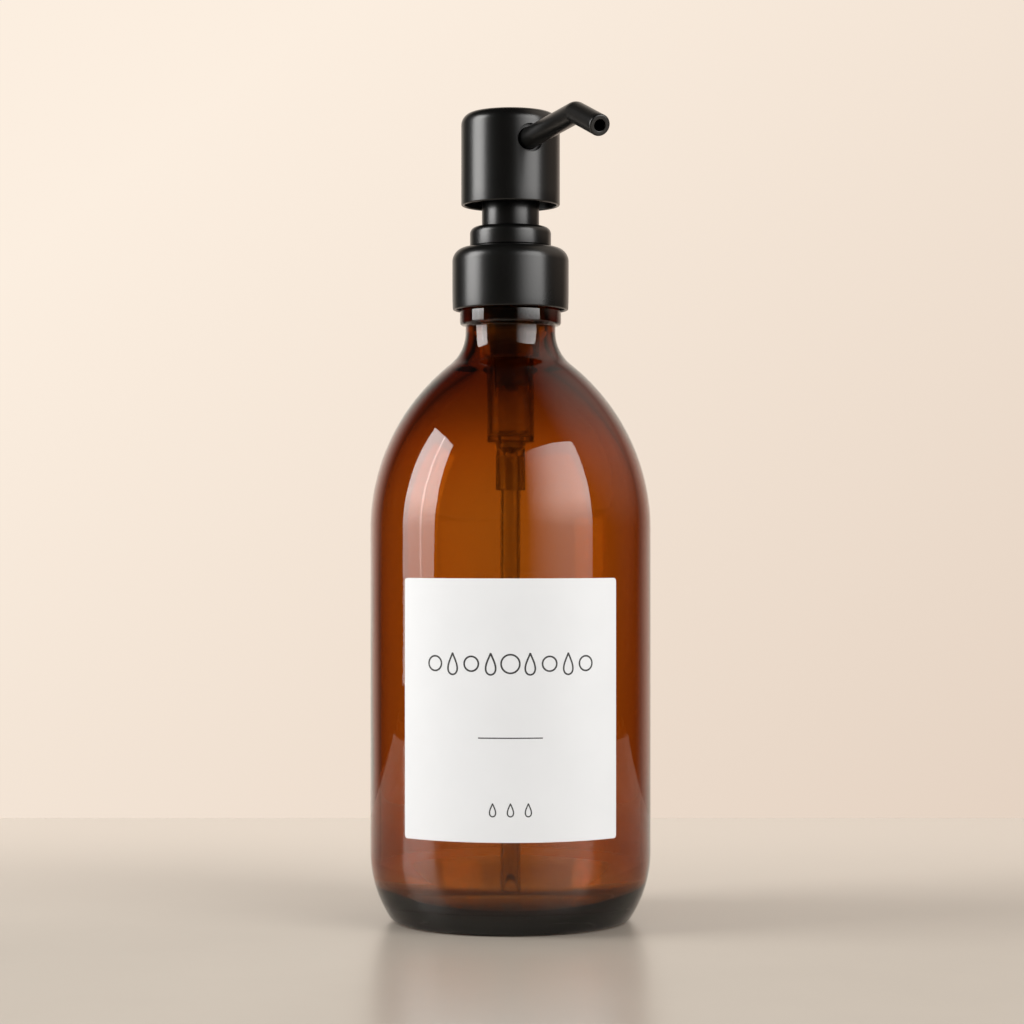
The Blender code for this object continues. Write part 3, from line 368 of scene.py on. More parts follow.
def amber_glass():
    """Clear amber glass, coloured by its depth and darkened by height with painted shade, with the faint
    waviness of a blown bottle.
    """
    material, tree, shader = surface("amber_glass")
    wave = noise(tree, 38, detail=1.0, stretch=(1, 1, 0.45))
    seeds = noise(tree, 900, detail=0.0)
    roughness = ramp(tree, seeds, [(0.35, 0.012), (0.7, 0.03)])
    # Painted shade: darker by height at the base, the shoulder's top and the neck, for the shade seen there.
    spot = add(tree, "ShaderNodeSeparateXYZ", {0: add(tree, "ShaderNodeTexCoord").outputs["Object"]})
    height = add(
        tree, "ShaderNodeMapRange",
        {"Value": spot.outputs["Z"], "From Min": 0.0, "From Max": MOUTH_Z},
    )
    painted_shade = ramp(tree, height.outputs[0], [
        (0.02, (0.55, 0.52, 0.5)), (0.11, (0.9, 0.83, 0.74)), (0.2, (1.0, 1.0, 1.0)),
        (0.73, (1.0, 1.0, 1.0)), (0.8, (0.74, 0.84, 0.9)), (0.85, (0.7, 0.8, 0.88)),
        (0.9, (0.82, 0.86, 0.9)), (0.925, (0.3, 0.5, 0.62)),
    ])
    connect(tree, shader, {
        "Base Color": painted_shade, "Transmission Weight": 1.0, "IOR": GLASS_IOR,
        "Roughness": roughness, "Normal": bump(tree, wave, 0.12, 0.004),
    })
    absorb = add(tree, "ShaderNodeVolumeAbsorption", {"Color": GLASS_COLOUR, "Density": GLASS_DENSITY})
    out = next(n for n in tree.nodes if n.type == "OUTPUT_MATERIAL")
    tree.links.new(absorb.outputs[0], out.inputs["Volume"])
    return material


def coated_metal():
    """Black powder coat, satin, with a very fine orange peel."""
    material, tree, shader = surface("black_powder_coat")
    peel = noise(tree, 1400, detail=2.0)
    cloud = noise(tree, 60, detail=3.0)
    connect(tree, shader, {
        "Base Color": ramp(tree, cloud, [(0.3, (0.0014, 0.0014, 0.0013)), (0.7, (0.0024, 0.0024, 0.0022))]),
        "Roughness": ramp(tree, cloud, [(0.3, 0.27), (0.7, 0.31)]),
        "Normal": bump(tree, peel, 0.10, 0.00006),
        "IOR": 1.55,
    })
    return material


def moulded_plastic(name, dark, light, roughness, transmission=0.0):
    """Injection-moulded plastic: slightly uneven in colour, with a fine satin skin."""
    material, tree, shader = surface(name)
    cloud = noise(tree, 90, detail=3.0)
    grain = noise(tree, 3200, detail=1.0)
    connect(tree, shader, {
        "Base Color": ramp(tree, cloud, [(0.3, dark), (0.7, light)]),
        "Roughness": ramp(tree, cloud, [(0.3, roughness), (0.7, roughness + 0.06)]),
        "Normal": bump(tree, grain, 0.08, 0.00005),
        "Transmission Weight": transmission, "IOR": 1.49,
    })
    return material


def label_film():
    """Matt white film with a fine tooth."""
    material, tree, shader = surface("label_film")
    cloud = noise(tree, 45, detail=4.0)
    tooth = noise(tree, 5200, detail=2.0)
    connect(tree, shader, {
        "Base Color": ramp(tree, cloud, [(0.3, (0.768, 0.785, 0.806)), (0.7, (0.798, 0.815, 0.836))]),
        "Roughness": ramp(tree, tooth, [(0.3, 0.5), (0.7, 0.6)]),
        "Normal": bump(tree, tooth, 0.12, 0.00004),
        "IOR": 1.45,
    })
    return material


def label_ink():
    """Charcoal print, slightly uneven where the ink lies on the film's tooth."""
    material, tree, shader = surface("label_ink")
    tooth = noise(tree, 5200, detail=2.0)
    connect(tree, shader, {
        "Base Color": ramp(tree, tooth, [(0.3, (0.028, 0.028, 0.030)), (0.7, (0.042, 0.042, 0.044))]),
        "Roughness": ramp(tree, tooth, [(0.3, 0.5), (0.7, 0.6)]),
    })
    return material


def spring_steel():
    """Bright drawn wire with fine marks along it."""
    material, tree, shader = surface("spring_steel")
    draw = noise(tree, 1500, detail=3.0, stretch=(1, 1, 4))
    connect(tree, shader, {
        "Base Color": ramp(tree, draw, [(0.3, (0.46, 0.46, 0.47)), (0.7, (0.62, 0.62, 0.63))]),
        "Metallic": 1.0,
        "Roughness": ramp(tree, draw, [(0.3, 0.22), (0.7, 0.36)]),
    })
    return material


TABLE_EDGE = 0.266           # far edge, behind the bottle
# Painted brightening: over this distance before the far edge the table's tone is mixed into cream.
TABLE_PAINTED_FADE = 0.33            # how far before that edge the table starts to pale
TABLE_HALF, TABLE_NEAR = 0.75, -0.9


def table_top():
    """Pale grey-beige plaster, faintly mottled, with a painted brightening into cream towards its far edge.
    """
    material, tree, shader = surface("table_top")
    mottle = noise(tree, 9, detail=5.0, roughness=0.6)
    tone = ramp(tree, mottle, [(0.25, (0.435, 0.388, 0.332)), (0.75, (0.485, 0.434, 0.372))])
    spot = add(tree, "ShaderNodeSeparateXYZ", {0: add(tree, "ShaderNodeTexCoord").outputs["Object"]})
    edge = add(
        tree, "ShaderNodeMapRange",
        {"Value": spot.outputs["Y"], "From Min": TABLE_EDGE - TABLE_PAINTED_FADE, "From Max": TABLE_EDGE},
        interpolation_type="SMOOTHSTEP",
    )
    # Painted brightening: towards the far edge the tone is mixed into cream, for the backdrop's light the
    # table reflects there.
    connect(tree, shader, {
        "Base Color": mixed(tree, edge.outputs[0], tone, (0.80, 0.70, 0.60, 1)),
        "Roughness": 0.3,
    })
    return material


AMBER = amber_glass()
COAT = coated_metal()
BLACK_PLASTIC = moulded_plastic("black_plastic", (0.010, 0.010, 0.010), (0.014, 0.014, 0.014), 0.45)
NATURAL = moulded_plastic("natural_plastic", (0.86, 0.85, 0.81), (0.91, 0.90, 0.87), 0.14, 0.9)
SEAL = moulded_plastic("seal_rubber", (0.70, 0.70, 0.68), (0.78, 0.78, 0.76), 0.55)
BALL_GLASS = moulded_plastic("valve_glass", (0.74, 0.80, 0.78), (0.80, 0.86, 0.84), 0.06, 0.8)
STEEL = spring_steel()
FILM = label_film()
INK = label_ink()


def place(obj, material, body, *nodes):
    """Gives a piece its material and its body, and stands it in for its CAD node."""
    obj.data.materials.clear()
    obj.data.materials.append(material)
    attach(obj, body)
    if nodes:
        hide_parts(*nodes)
    return obj


# ---------------------------------------------------------------- bottle
def shoulder_inside(neck_r, neck_z, shoulder_r, turn):
    """Inner wall from the neck down to the straight wall: the glass thickens towards the neck."""
    points = []
    for k in range(25):
        share = k / 24
        wall = GLASS_WALL + (SHOULDER_GLASS - GLASS_WALL) * math.sin(math.pi / 2 * share)
        points += arc(neck_r, neck_z, NECK_ARC + wall, 180 + turn * share, 180 + turn * share, 1)[:1]
    for k in range(1, 45):
        share = 1 - k / 44
        wall = GLASS_WALL + (SHOULDER_GLASS - GLASS_WALL) * share**2
        points += arc(shoulder_r, BODY_TOP, SHOULDER_ARC - wall, turn * share, turn * share, 1)[:1]
    return points


def bottle():
    """Domed glass body with its neck, bead, screw thread, lip and hollow base."""
    shoulder_r = BODY_RADIUS - SHOULDER_ARC
    neck_r = NECK_RADIUS + NECK_ARC
    neck_z = BODY_TOP + math.sqrt((SHOULDER_ARC + NECK_ARC) ** 2 - (neck_r - shoulder_r) ** 2)
    turn = math.degrees(math.atan2(neck_z - BODY_TOP, neck_r - shoulder_r))
    heel_r = BODY_RADIUS - HEEL_ARC
    reach, fall = HEEL_ARC - BASE_FILLET, HEEL_TOP - BASE_FILLET
    fillet_r = heel_r + math.sqrt(reach**2 - fall**2)
    touch = math.degrees(math.atan2(BASE_FILLET - HEEL_TOP, fillet_r - heel_r))
    bead_z = MOUTH_Z - FINISH_HEIGHT - BEAD_HEIGHT
    bead_top = bead_z + BEAD_HEIGHT
    contact = fillet_r - CONTACT_INSET
    # The base rises from its ring of contact to the push-up's centre.
    push_up = [
        (contact * k / 12, PUSH_UP * (1 + math.cos(math.pi * k / 12)) / 2) for k in range(13)
    ]
    rows = 60
    low, high = bead_top + PLAIN_LOW, MOUTH_Z - PLAIN_HIGH
    finish = [(FINISH_RADIUS, low + (high - low) * k / rows) for k in range(rows + 1)]
    guide = 3 * MM
    # The last two corners only give their neighbours a direction, and are dropped.
    bead = softened([
        (NECK_RADIUS, bead_z, BEAD_FOOT_FILLET), (BEAD_RADIUS, bead_z, BEAD_FILLET),
        (BEAD_RADIUS, bead_top, BEAD_FILLET), (FINISH_RADIUS, bead_top, BEAD_ROOT_FILLET),
        (FINISH_RADIUS, bead_top + guide), (NECK_RADIUS, bead_z - guide / 2),
    ], 6)[:-2]
    lip = softened([
        (FINISH_RADIUS, high), (FINISH_RADIUS, MOUTH_Z, LIP_FILLET),
        (MOUTH_BORE, MOUTH_Z, LIP_FILLET), (MOUTH_BORE, high),
    ], 8)[1:-1]
    inner = BODY_RADIUS - GLASS_WALL
    outline = (
        push_up
        + arc(fillet_r, BASE_FILLET, BASE_FILLET, -90, touch, 10)
        + arc(heel_r, HEEL_TOP, HEEL_ARC, touch, 0, 20)[1:]
        + [(BODY_RADIUS, HEEL_TOP + (BODY_TOP - HEEL_TOP) * k / 20) for k in range(1, 20)]
        + arc(shoulder_r, BODY_TOP, SHOULDER_ARC, 0, turn, 48)
        + arc(neck_r, neck_z, NECK_ARC, 180 + turn, 180, 24)[1:]
        + bead + finish + lip
        + shoulder_inside(neck_r, neck_z, shoulder_r, turn)
        + arc(inner - FLOOR_CORNER, FLOOR_THICKNESS + FLOOR_CORNER, FLOOR_CORNER, 0, -90, 24)
        + [(0, FLOOR_THICKNESS + FLOOR_CROWN)]
    )
    ridge = thread_ridge(THREAD_LOW, 0, THREAD_TURNS, FINISH_RADIUS, THREAD_DEPTH)
    glass = revolve("bottle_glass", outline, ridge=ridge, sharp=50)
    place(glass, AMBER, "bottle", "bottle")


# ---------------------------------------------------------------- label
LABEL_WIDTH = 61.5 * MM
LABEL_CORNER = 0.9 * MM
LABEL_GAP = 0.04 * MM        # glue line between the glass and the film
FILM_THICKNESS = 0.14 * MM
INK_THICKNESS = 0.02 * MM
ROW_Z, RULE_Z, SMALL_Z = 71.1 * MM, 52.0 * MM, 33.5 * MM
ROW_LINE, RULE_LINE, SMALL_LINE = 0.45 * MM, 0.3 * MM, 0.32 * MM
ROW_PITCH, SMALL_PITCH = 5.1 * MM, 4.6 * MM
BUBBLE_RADIUS, MIDDLE_BUBBLE = 1.9 * MM, 2.4 * MM
DROP_HEIGHT, SMALL_DROP = 5.6 * MM, 3.4 * MM
RULE_HALF, RULE_STEP, RULE_POINTS = 8.4 * MM, 0.8 * MM, 22


def wrap(x, z, lift):
    """A point of the flat artwork, wrapped round the front of the bottle."""
    radius = BODY_RADIUS + LABEL_GAP
    angle = x / radius
    return ((radius + lift) * math.sin(angle), -(radius + lift) * math.cos(angle), z)


def label():
    """Film with rounded corners, wrapped round the bottle's front."""
    half = LABEL_WIDTH / 2
    corner_steps, columns = 8, 90
    ends = [
        half - LABEL_CORNER * (1 - math.sin(math.pi / 2 * i / corner_steps))
        for i in range(corner_steps, -1, -1)
    ]
    middle = [ends[-1] * (1 - 2 * i / columns) for i in range(1, columns)]
    rings = []
    for x in ends + middle + [-e for e in reversed(ends)]:
        share = max(0.0, abs(x) - (half - LABEL_CORNER)) / LABEL_CORNER
        trim = LABEL_CORNER * (1 - math.sqrt(max(0.0, 1 - share**2)))
        low, high = LABEL_FOOT + trim, LABEL_TOP - trim
        rings.append([
            wrap(x, low, 0), wrap(x, high, 0),
            wrap(x, high, FILM_THICKNESS), wrap(x, low, FILM_THICKNESS),
        ])
    bm = bmesh.new()
    skin(bm, rings)
    place(finish_mesh("label_sheet", bm), FILM, "bottle", "label")


def inked(bm, loop, width, closed=True):
    """A line of ink of even width along a path of flat points, raised a little off the film."""
    count = len(loop)
    half = width / 2
    rings = []
    for i, (x, z) in enumerate(loop):
        before = loop[(i - 1) % count] if closed or i else loop[i]
        after = loop[(i + 1) % count] if closed or i < count - 1 else loop[i]
        along = Vector((after[0] - before[0], after[1] - before[1])).normalized()
        side = Vector((-along.y, along.x)) * half
        under, over = FILM_THICKNESS - INK_THICKNESS, FILM_THICKNESS + INK_THICKNESS
        rings.append([
            wrap(x + side.x, z + side.y, under), wrap(x + side.x, z + side.y, over),
            wrap(x - side.x, z - side.y, over), wrap(x - side.x, z - side.y, under),
        ])
    if closed:
        closed_skin(bm, rings)
    else:
        skin(bm, rings)


def bubble(x, z, radius, steps=40):
    return [
        (x + radius * math.cos(math.tau * k / steps), z + radius * math.sin(math.tau * k / steps))
        for k in range(steps)
    ]


def drop(x, z, height, steps=48):
    """Outline of a water drop, its point up, centred at (x, z)."""
    points = []
    for k in range(steps):
        t = math.tau * (k + 0.5) / steps
        points.append((
            x + 0.33 * height * math.sin(t) * math.sin(t / 2) ** 1.5,
            z + 0.5 * height * math.cos(t),
        ))
    return points


def label_print():
    """Generic ornament: a row of bubbles and drops, a thin rule, and three small drops."""
    bm = bmesh.new()
    for k in range(-4, 5):
        x = k * ROW_PITCH
        if k % 2:
            inked(bm, drop(x, ROW_Z, DROP_HEIGHT), ROW_LINE)
        else:
            inked(bm, bubble(x, ROW_Z, BUBBLE_RADIUS if k else MIDDLE_BUBBLE), ROW_LINE)
    rule = [(RULE_STEP * k - RULE_HALF, RULE_Z) for k in range(RULE_POINTS)]
    inked(bm, rule, RULE_LINE, closed=False)
    for k in range(-1, 2):
        inked(bm, drop(k * SMALL_PITCH, SMALL_Z, SMALL_DROP), SMALL_LINE)
    place(finish_mesh("label_print", bm), INK, "bottle")


# ---------------------------------------------------------------- closure and covers
def closure():
    """Metal collar over the threaded plastic cap."""
    corner_r, corner_z = COLLAR_RADIUS - COLLAR_FILLET, COLLAR_TOP - COLLAR_FILLET
    rim = COLLAR_RIM
    bore = COLLAR_RADIUS - COVER_WALL
    outline = (
        arc(COLLAR_RADIUS - COLLAR_TAPER - rim, COLLAR_FOOT + rim, rim, 180, 360, 14)
        + [(COLLAR_RADIUS - 0.3 * COLLAR_TAPER, COLLAR_FOOT + TAPER_HEIGHT / 2)]
        + [(COLLAR_RADIUS, COLLAR_FOOT + TAPER_HEIGHT)]
        + arc(corner_r, corner_z, COLLAR_FILLET, 0, 90, 18)
        + [(CAP_HOLE, COLLAR_TOP), (CAP_HOLE, COLLAR_TOP - COVER_WALL)]
        + arc(corner_r, corner_z, COLLAR_FILLET - COVER_WALL, 90, 0, 12)
        + [(bore, COLLAR_FOOT + 3 * rim)]
    )
    place(revolve("collar_shell", outline), COAT, "closure", "collar")

    rows = 48
    low, high = CAP_FOOT + CAP_PLAIN_LOW, CAP_TOP - CAP_PLATE - CAP_PLAIN_HIGH
    threaded = [(CAP_BORE, high - (high - low) * k / rows) for k in range(rows + 1)]
    cap_corner = COLLAR_FILLET - COVER_WALL - GAP
    outline = (
        [(CAP_BORE, CAP_TOP - CAP_PLATE)]
        + threaded
        + softened([
            (CAP_BORE, low), (CAP_BORE, CAP_FOOT, CAP_EDGE), (CAP_RADIUS, CAP_FOOT, CAP_EDGE),
            (CAP_RADIUS, low),
        ])[1:-1]
        + arc(corner_r, corner_z, cap_corner, 0, 90, 10)
        + [(CAP_HOLE, CAP_TOP), (CAP_HOLE, CAP_TOP - CAP_PLATE)]
    )
    ridge = thread_ridge(
        THREAD_LOW - CAP_THREAD_DROP, CAP_THREAD_FIRST, CAP_THREAD_LAST, CAP_BORE, -THREAD_DEPTH,
    )
    place(revolve("closure_cap_threaded", outline, ridge=ridge), BLACK_PLASTIC, "closure", "closure_cap")


def covers():
    """Metal ring cover and the metal column that goes up into the head."""
    corner_r, corner_z = RING_RADIUS - RING_FILLET, RING_TOP - RING_FILLET
    bend = RING_TOP - RING_BEND
    fine = 0.15 * MM
    bore = RING_RADIUS - COVER_WALL
    hole = COLUMN_RADIUS + COLUMN_EASE
    outline = (
        softened([
            (bore, bend), (bore, RING_FOOT, fine), (RING_RADIUS, RING_FOOT, RING_EDGE),
            (RING_RADIUS, bend),
        ])
        + arc(corner_r, corner_z, RING_FILLET, 0, 90, 14)
        + softened([
            (corner_r, RING_TOP), (hole, RING_TOP, fine), (hole, RING_TOP - COVER_WALL, fine),
            (corner_r, RING_TOP - COVER_WALL),
        ])[1:-1]
        + arc(corner_r, corner_z, RING_FILLET - COVER_WALL, 90, 0, 10)
    )
    place(revolve("ring_shell", outline), COAT, "pump", "ring_cover")

    inner = COLUMN_RADIUS - COLUMN_WALL
    under = COLUMN_TOP - COLUMN_WALL
    fine = 0.1 * MM
    outline = softened([
        (inner, COLUMN_FOOT, fine), (COLUMN_RADIUS, COLUMN_FOOT, fine),
        (COLUMN_RADIUS, COLUMN_TOP, COLUMN_WALL), (COLUMN_HOLE, COLUMN_TOP, fine),
        (COLUMN_HOLE, under, fine), (inner, under, fine / 2),
    ])
    place(revolve("column_shell", outline), COAT, "pump", "column_sleeve")


# ---------------------------------------------------------------- pump
GAP = 0.3 * MM               # between two fixed pieces
FLUID_BORE = 1.2 * MM
ROD_RADIUS = 3.3 * MM
GUIDE_BORE, GUIDE_RADIUS, GUIDE_LIP = 5.4 * MM, 6.6 * MM, 1.4 * MM
HOUSING_BORE, HOUSING_RADIUS, HOUSING_WALL = 6.9 * MM, 7.9 * MM, 1.0 * MM
BARREL_BORE, BARREL_RADIUS = 5.3 * MM, 6.4 * MM
FLANGE_THICKNESS = 1.2 * MM
CHAMBER_FLOOR = 1.6 * MM
INLET_SEAT, INLET_POCKET, INLET_DEPTH = 1.4 * MM, 2.7 * MM, 4.2 * MM
TUBE_BORE, TUBE_RADIUS, TUBE_SLANT = 2.0 * MM, 2.75 * MM, math.radians(38)
TUBE_SOCKET, TUBE_HOLDER = 3.05 * MM, 4.05 * MM
TUBE_CUT, TUBE_TIP = 1.9 * MM, 0.02 * MM     # the slanting cut's middle and its lowest point
FIN_COUNT, FIN_INSET = 4, 0.1 * MM
FIN_LENGTH, FIN_THICKNESS, FIN_TURN = 8.5 * MM, 0.9 * MM, math.radians(50)
VENT_RADIUS, VENT_HEIGHT = 0.8 * MM, 6.3 * MM
ROD_EASE = 0.4 * MM          # between the sliding rod and its guide
GROOVE_GAP, GROOVE_WALL, GROOVE_CEILING = 0.8 * MM, 1.0 * MM, 1.6 * MM
CAGE_HOLE, CAGE_RECESS = 1.2 * MM, 0.5 * MM
CAGE_SLOT, CAGE_SLOT_TURN = 3.6 * MM, math.radians(5)
WIRE, COILS, END_CROWDING = 0.35 * MM, 8, 0.6   # crowding of the coils towards both ends
PISTON_WAIST, PISTON_BORE, PISTON_EDGE = BARREL_BORE - 1.0 * MM, 2.6 * MM, 0.5 * MM
ROD_SLEEVE, ROD_FLANGE, ROD_TIP = 2.3 * MM, 0.9 * MM, 0.3 * MM
ROD_FOOT, ROD_FOOT_HEIGHT = ROD_SLEEVE + 0.6 * MM, 1.2 * MM
DRUM_RADIUS, DRUM_HEAD, DRUM_FILLET = 9.7 * MM, 10.1 * MM, 1.2 * MM
STEM_RADIUS, STEM_PLUG, STEM_SOCKET, STEM_FLANGE = 3.8 * MM, 2.4 * MM, 6.0 * MM, 1.6 * MM
OUTLET_POCKET, OUTLET_DEPTH = 2.25 * MM, 4.8 * MM


def fin(turn, high):
    """A slanting web between the housing's step and its barrel."""
    inner = (BARREL_BORE + BARREL_RADIUS) / 2
    outline = [
        (inner, high + HOUSING_WALL / 2), (HOUSING_RADIUS - FIN_INSET, high + HOUSING_WALL / 2),
        (HOUSING_RADIUS - FIN_INSET, high), (BARREL_RADIUS + FIN_INSET / 2, high - FIN_LENGTH),
        (inner, high - FIN_LENGTH),
    ]
    bm = bmesh.new()
    skin(bm, [
        [
            (r * math.cos(turn) - side * math.sin(turn), r * math.sin(turn) + side * math.cos(turn), z)
            for r, z in outline
        ]
        for side in (-FIN_THICKNESS / 2, FIN_THICKNESS / 2)
    ])
    return finish_mesh("fin", bm)


def housing():
    """Flanged cylinder and barrel, with the inlet valve's seat and the dip tube's socket."""
    high, low = top("housing"), foot("housing")
    flange = half_width("housing")
    step = foot("guide_bush") - GAP
    chamber = foot("ball_cage") - GAP
    seat = chamber - INLET_DEPTH
    tube_top = top("dip_tube") + GAP
    taper = HOUSING_RADIUS - BARREL_RADIUS
    fine, soft = 0.15 * MM, 0.4 * MM
    outline = softened([
        (HOUSING_BORE, high, fine), (HOUSING_BORE, step, fine), (BARREL_BORE, step, fine),
        (BARREL_BORE, chamber, soft), (INLET_POCKET, chamber, fine),
        (INLET_POCKET, seat + INLET_POCKET - INLET_SEAT), (INLET_SEAT, seat), (INLET_SEAT, tube_top),
        (TUBE_SOCKET, tube_top), (TUBE_SOCKET, low, fine), (TUBE_HOLDER, low, fine),
        (TUBE_HOLDER, chamber - CHAMBER_FLOOR, soft), (BARREL_RADIUS, chamber - CHAMBER_FLOOR, soft),
        (BARREL_RADIUS, step - taper - HOUSING_WALL, soft), (HOUSING_RADIUS, step - HOUSING_WALL, soft),
        (HOUSING_RADIUS, high - FLANGE_THICKNESS, soft), (flange, high - FLANGE_THICKNESS, fine),
        (flange, high, fine),
    ])
    body = revolve("pump_housing", outline, SMALL_ROUND)
    fins = [fin(FIN_TURN + math.tau * k / FIN_COUNT, step - HOUSING_WALL) for k in range(FIN_COUNT)]
    cut(body, fins, "UNION")
    vent_z = foot("guide_bush") + VENT_HEIGHT
    vent = bar("vent", VENT_RADIUS, (0, GUIDE_RADIUS, vent_z), (0, HOUSING_RADIUS + GAP, vent_z), 24)
    cut(body, [vent])
    place(body, NATURAL, "pump", "housing")


def guide_bush():
    """Bush that guides the plunger, with the drum under the ring cover and the column's core."""
    high, low = top("guide_bush"), foot("guide_bush")
    under = CAP_TOP - CAP_PLATE
    drum_top = RING_TOP - COVER_WALL - GAP
    core = COLUMN_RADIUS - COLUMN_WALL - GAP
    groove = (GUIDE_RADIUS + GROOVE_GAP, DRUM_RADIUS - GROOVE_WALL)
    groove_top = drum_top - GROOVE_CEILING
    fine = 0.2 * MM
    outline = softened([
        (GUIDE_BORE, high, fine), (GUIDE_BORE, low + GUIDE_LIP, fine),
        (ROD_RADIUS + ROD_EASE, low + GUIDE_LIP, fine), (ROD_RADIUS + ROD_EASE, low, fine),
        (GUIDE_RADIUS, low, fine), (GUIDE_RADIUS, under), (groove[0], under),
        (groove[0], groove_top, fine), (groove[1], groove_top, fine),
        (groove[1], under, fine), (DRUM_RADIUS, under, fine), (DRUM_RADIUS, RING_FOOT),
        (DRUM_HEAD, RING_FOOT, fine), (DRUM_HEAD, drum_top, DRUM_FILLET), (core, drum_top, fine),
        (core, high, fine),
    ])
    place(revolve("guide_bush_fine", outline, SMALL_ROUND), BLACK_PLASTIC, "pump", "guide_bush")


def gasket():
    inner, outer = HOUSING_RADIUS + GAP, half_width("gasket")
    low, high = foot("gasket"), top("gasket")
    fine = 0.2 * MM
    outline = softened([(r, z, fine) for r, z in ((inner, low), (outer, low), (outer, high), (inner, high))])
    place(revolve("gasket_ring", outline, SMALL_ROUND), SEAL, "seal", "gasket")


def dip_tube():
    """Drawn tube, cut off at a slant near the bottle's floor."""
    low, high = foot("dip_tube"), top("dip_tube")
    sides, rows = 48, 40
    slant = math.tan(TUBE_SLANT)
    bm = bmesh.new()

    def ring(radius, share):
        points = []
        for k in range(sides):
            angle = math.tau * k / sides
            x, y = radius * math.cos(angle), radius * math.sin(angle)
            start = max(low + TUBE_TIP, low + TUBE_CUT + y * slant)
            points.append((x, y, start + (high - start) * share))
        return points

    rings = [ring(TUBE_RADIUS, k / rows) for k in range(rows + 1)]
    rings += [ring(TUBE_BORE, 1 - k / rows) for k in range(rows + 1)]
    closed_skin(bm, rings)
    place(finish_mesh("dip_tube_drawn", bm), NATURAL, "pump", "dip_tube")


def ball_cage():
    """Disc over the inlet ball, with a hole and a slot for the soap."""
    low, high = foot("ball_cage"), top("ball_cage")
    outer, pocket, hole = half_width("ball_cage"), INLET_POCKET + GAP, CAGE_HOLE
    recess = low + CAGE_RECESS
    fine = 0.12 * MM
    cage = revolve("ball_cage_disc", softened([
        (pocket, low, fine), (outer, low, fine), (outer, high, fine), (hole, high, fine), (hole, recess),
        (pocket, recess),
    ]), SMALL_ROUND)
    slot = slab(
        "slot", (-CAGE_SLOT, -hole / 2, low - fine), (CAGE_SLOT, hole / 2, high + fine), CAGE_SLOT_TURN,
    )
    cut(cage, [slot])
    place(cage, NATURAL, "pump", "ball_cage")


def valve_ball(name, body, node):
    low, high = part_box(node)
    bm = bmesh.new()
    bmesh.ops.create_icosphere(bm, subdivisions=4, radius=(high.z - low.z) / 2)
    bmesh.ops.translate(bm, vec=(low + high) / 2, verts=bm.verts)
    place(finish_mesh(name, bm), BALL_GLASS, body, node)


def spring():
    """Closed-end coil of round wire, built at the length of the frame's spring, on a mesh of its own."""
    low, high = foot("spring"), top("spring")
    wire, turns, per_turn, sides = WIRE, COILS, 40, 12
    radius = half_width("spring") - wire
    climb = high - low - 2 * wire
    rings = []
    for i in range(turns * per_turn + 1):
        share = i / (turns * per_turn)
        z = low + wire + climb * (share - END_CROWDING * math.sin(math.tau * share) / math.tau)
        angle = math.tau * turns * share
        spokes = [math.tau * k / sides for k in range(sides)]
        rings.append([
            (
                (radius + wire * math.cos(t)) * math.cos(angle),
                (radius + wire * math.cos(t)) * math.sin(angle), z + wire * math.sin(t),
            )
            for t in spokes
        ])
    bm = bmesh.new()
    skin(bm, rings)
    coil = place(finish_mesh("spring_coil", bm), STEEL, "pump", "spring")
    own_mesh(coil)


def plunger():
    """Piston with its two lips, and the hollow rod that carries it."""
    low, high = foot("piston"), top("piston")
    lip, waist, inner = half_width("piston"), PISTON_WAIST, PISTON_BORE
    edge, fine = PISTON_EDGE, 0.12 * MM
    outline = softened([
        (inner, low), (waist - edge, low + edge, edge), (lip, low, fine), (lip, low + edge, fine),
        (waist, low + 3 * edge, edge), (waist, high - 3 * edge, edge), (lip, high - edge, fine),
        (lip, high, fine), (waist - edge, high - edge, edge), (inner, high),
    ])
    place(revolve("piston_seal", outline, SMALL_ROUND), SEAL, "plunger", "piston")

    low, high = foot("piston_rod"), top("piston_rod")
    flange, spigot = half_width("piston_rod"), STEM_PLUG - GAP
    foot_top = low + ROD_FOOT_HEIGHT
    flange_low = top("piston") + GAP
    flange_top = flange_low + ROD_FLANGE
    shoulder = foot("stem") - GAP
    outline = softened([
        (FLUID_BORE, low, fine), (ROD_FOOT, low, fine), (ROD_FOOT, foot_top, fine),
        (ROD_SLEEVE, foot_top), (ROD_SLEEVE, flange_low), (flange, flange_low, fine),
        (flange, flange_top, fine), (ROD_RADIUS, flange_top, fine),
        (ROD_RADIUS, shoulder, fine), (spigot, shoulder, fine), (spigot, high, ROD_TIP),
        (FLUID_BORE, high, fine),
    ])
    place(revolve("rod_hollow", outline, SMALL_ROUND), NATURAL, "plunger", "piston_rod")


def stem():
    """Hollow stem with the outlet ball's seat in its top."""
    low, high = foot("stem"), top("stem")
    shoulder = top("spring") + GAP
    wide, flange_top = half_width("stem"), shoulder + STEM_FLANGE
    seat = high - OUTLET_DEPTH
    fine = 0.15 * MM
    outline = softened([
        (STEM_PLUG, low, fine), (ROD_RADIUS, low, fine), (ROD_RADIUS, shoulder, fine),
        (wide, shoulder, fine), (wide, flange_top, fine), (STEM_RADIUS, flange_top, fine),
        (STEM_RADIUS, high, fine), (OUTLET_POCKET, high, fine),
        (OUTLET_POCKET, seat + OUTLET_POCKET - FLUID_BORE), (FLUID_BORE, seat),
        (FLUID_BORE, low + STEM_SOCKET), (STEM_PLUG, low + STEM_SOCKET),
    ])
    place(revolve("stem_hollow", outline, SMALL_ROUND), NATURAL, "head", "stem")


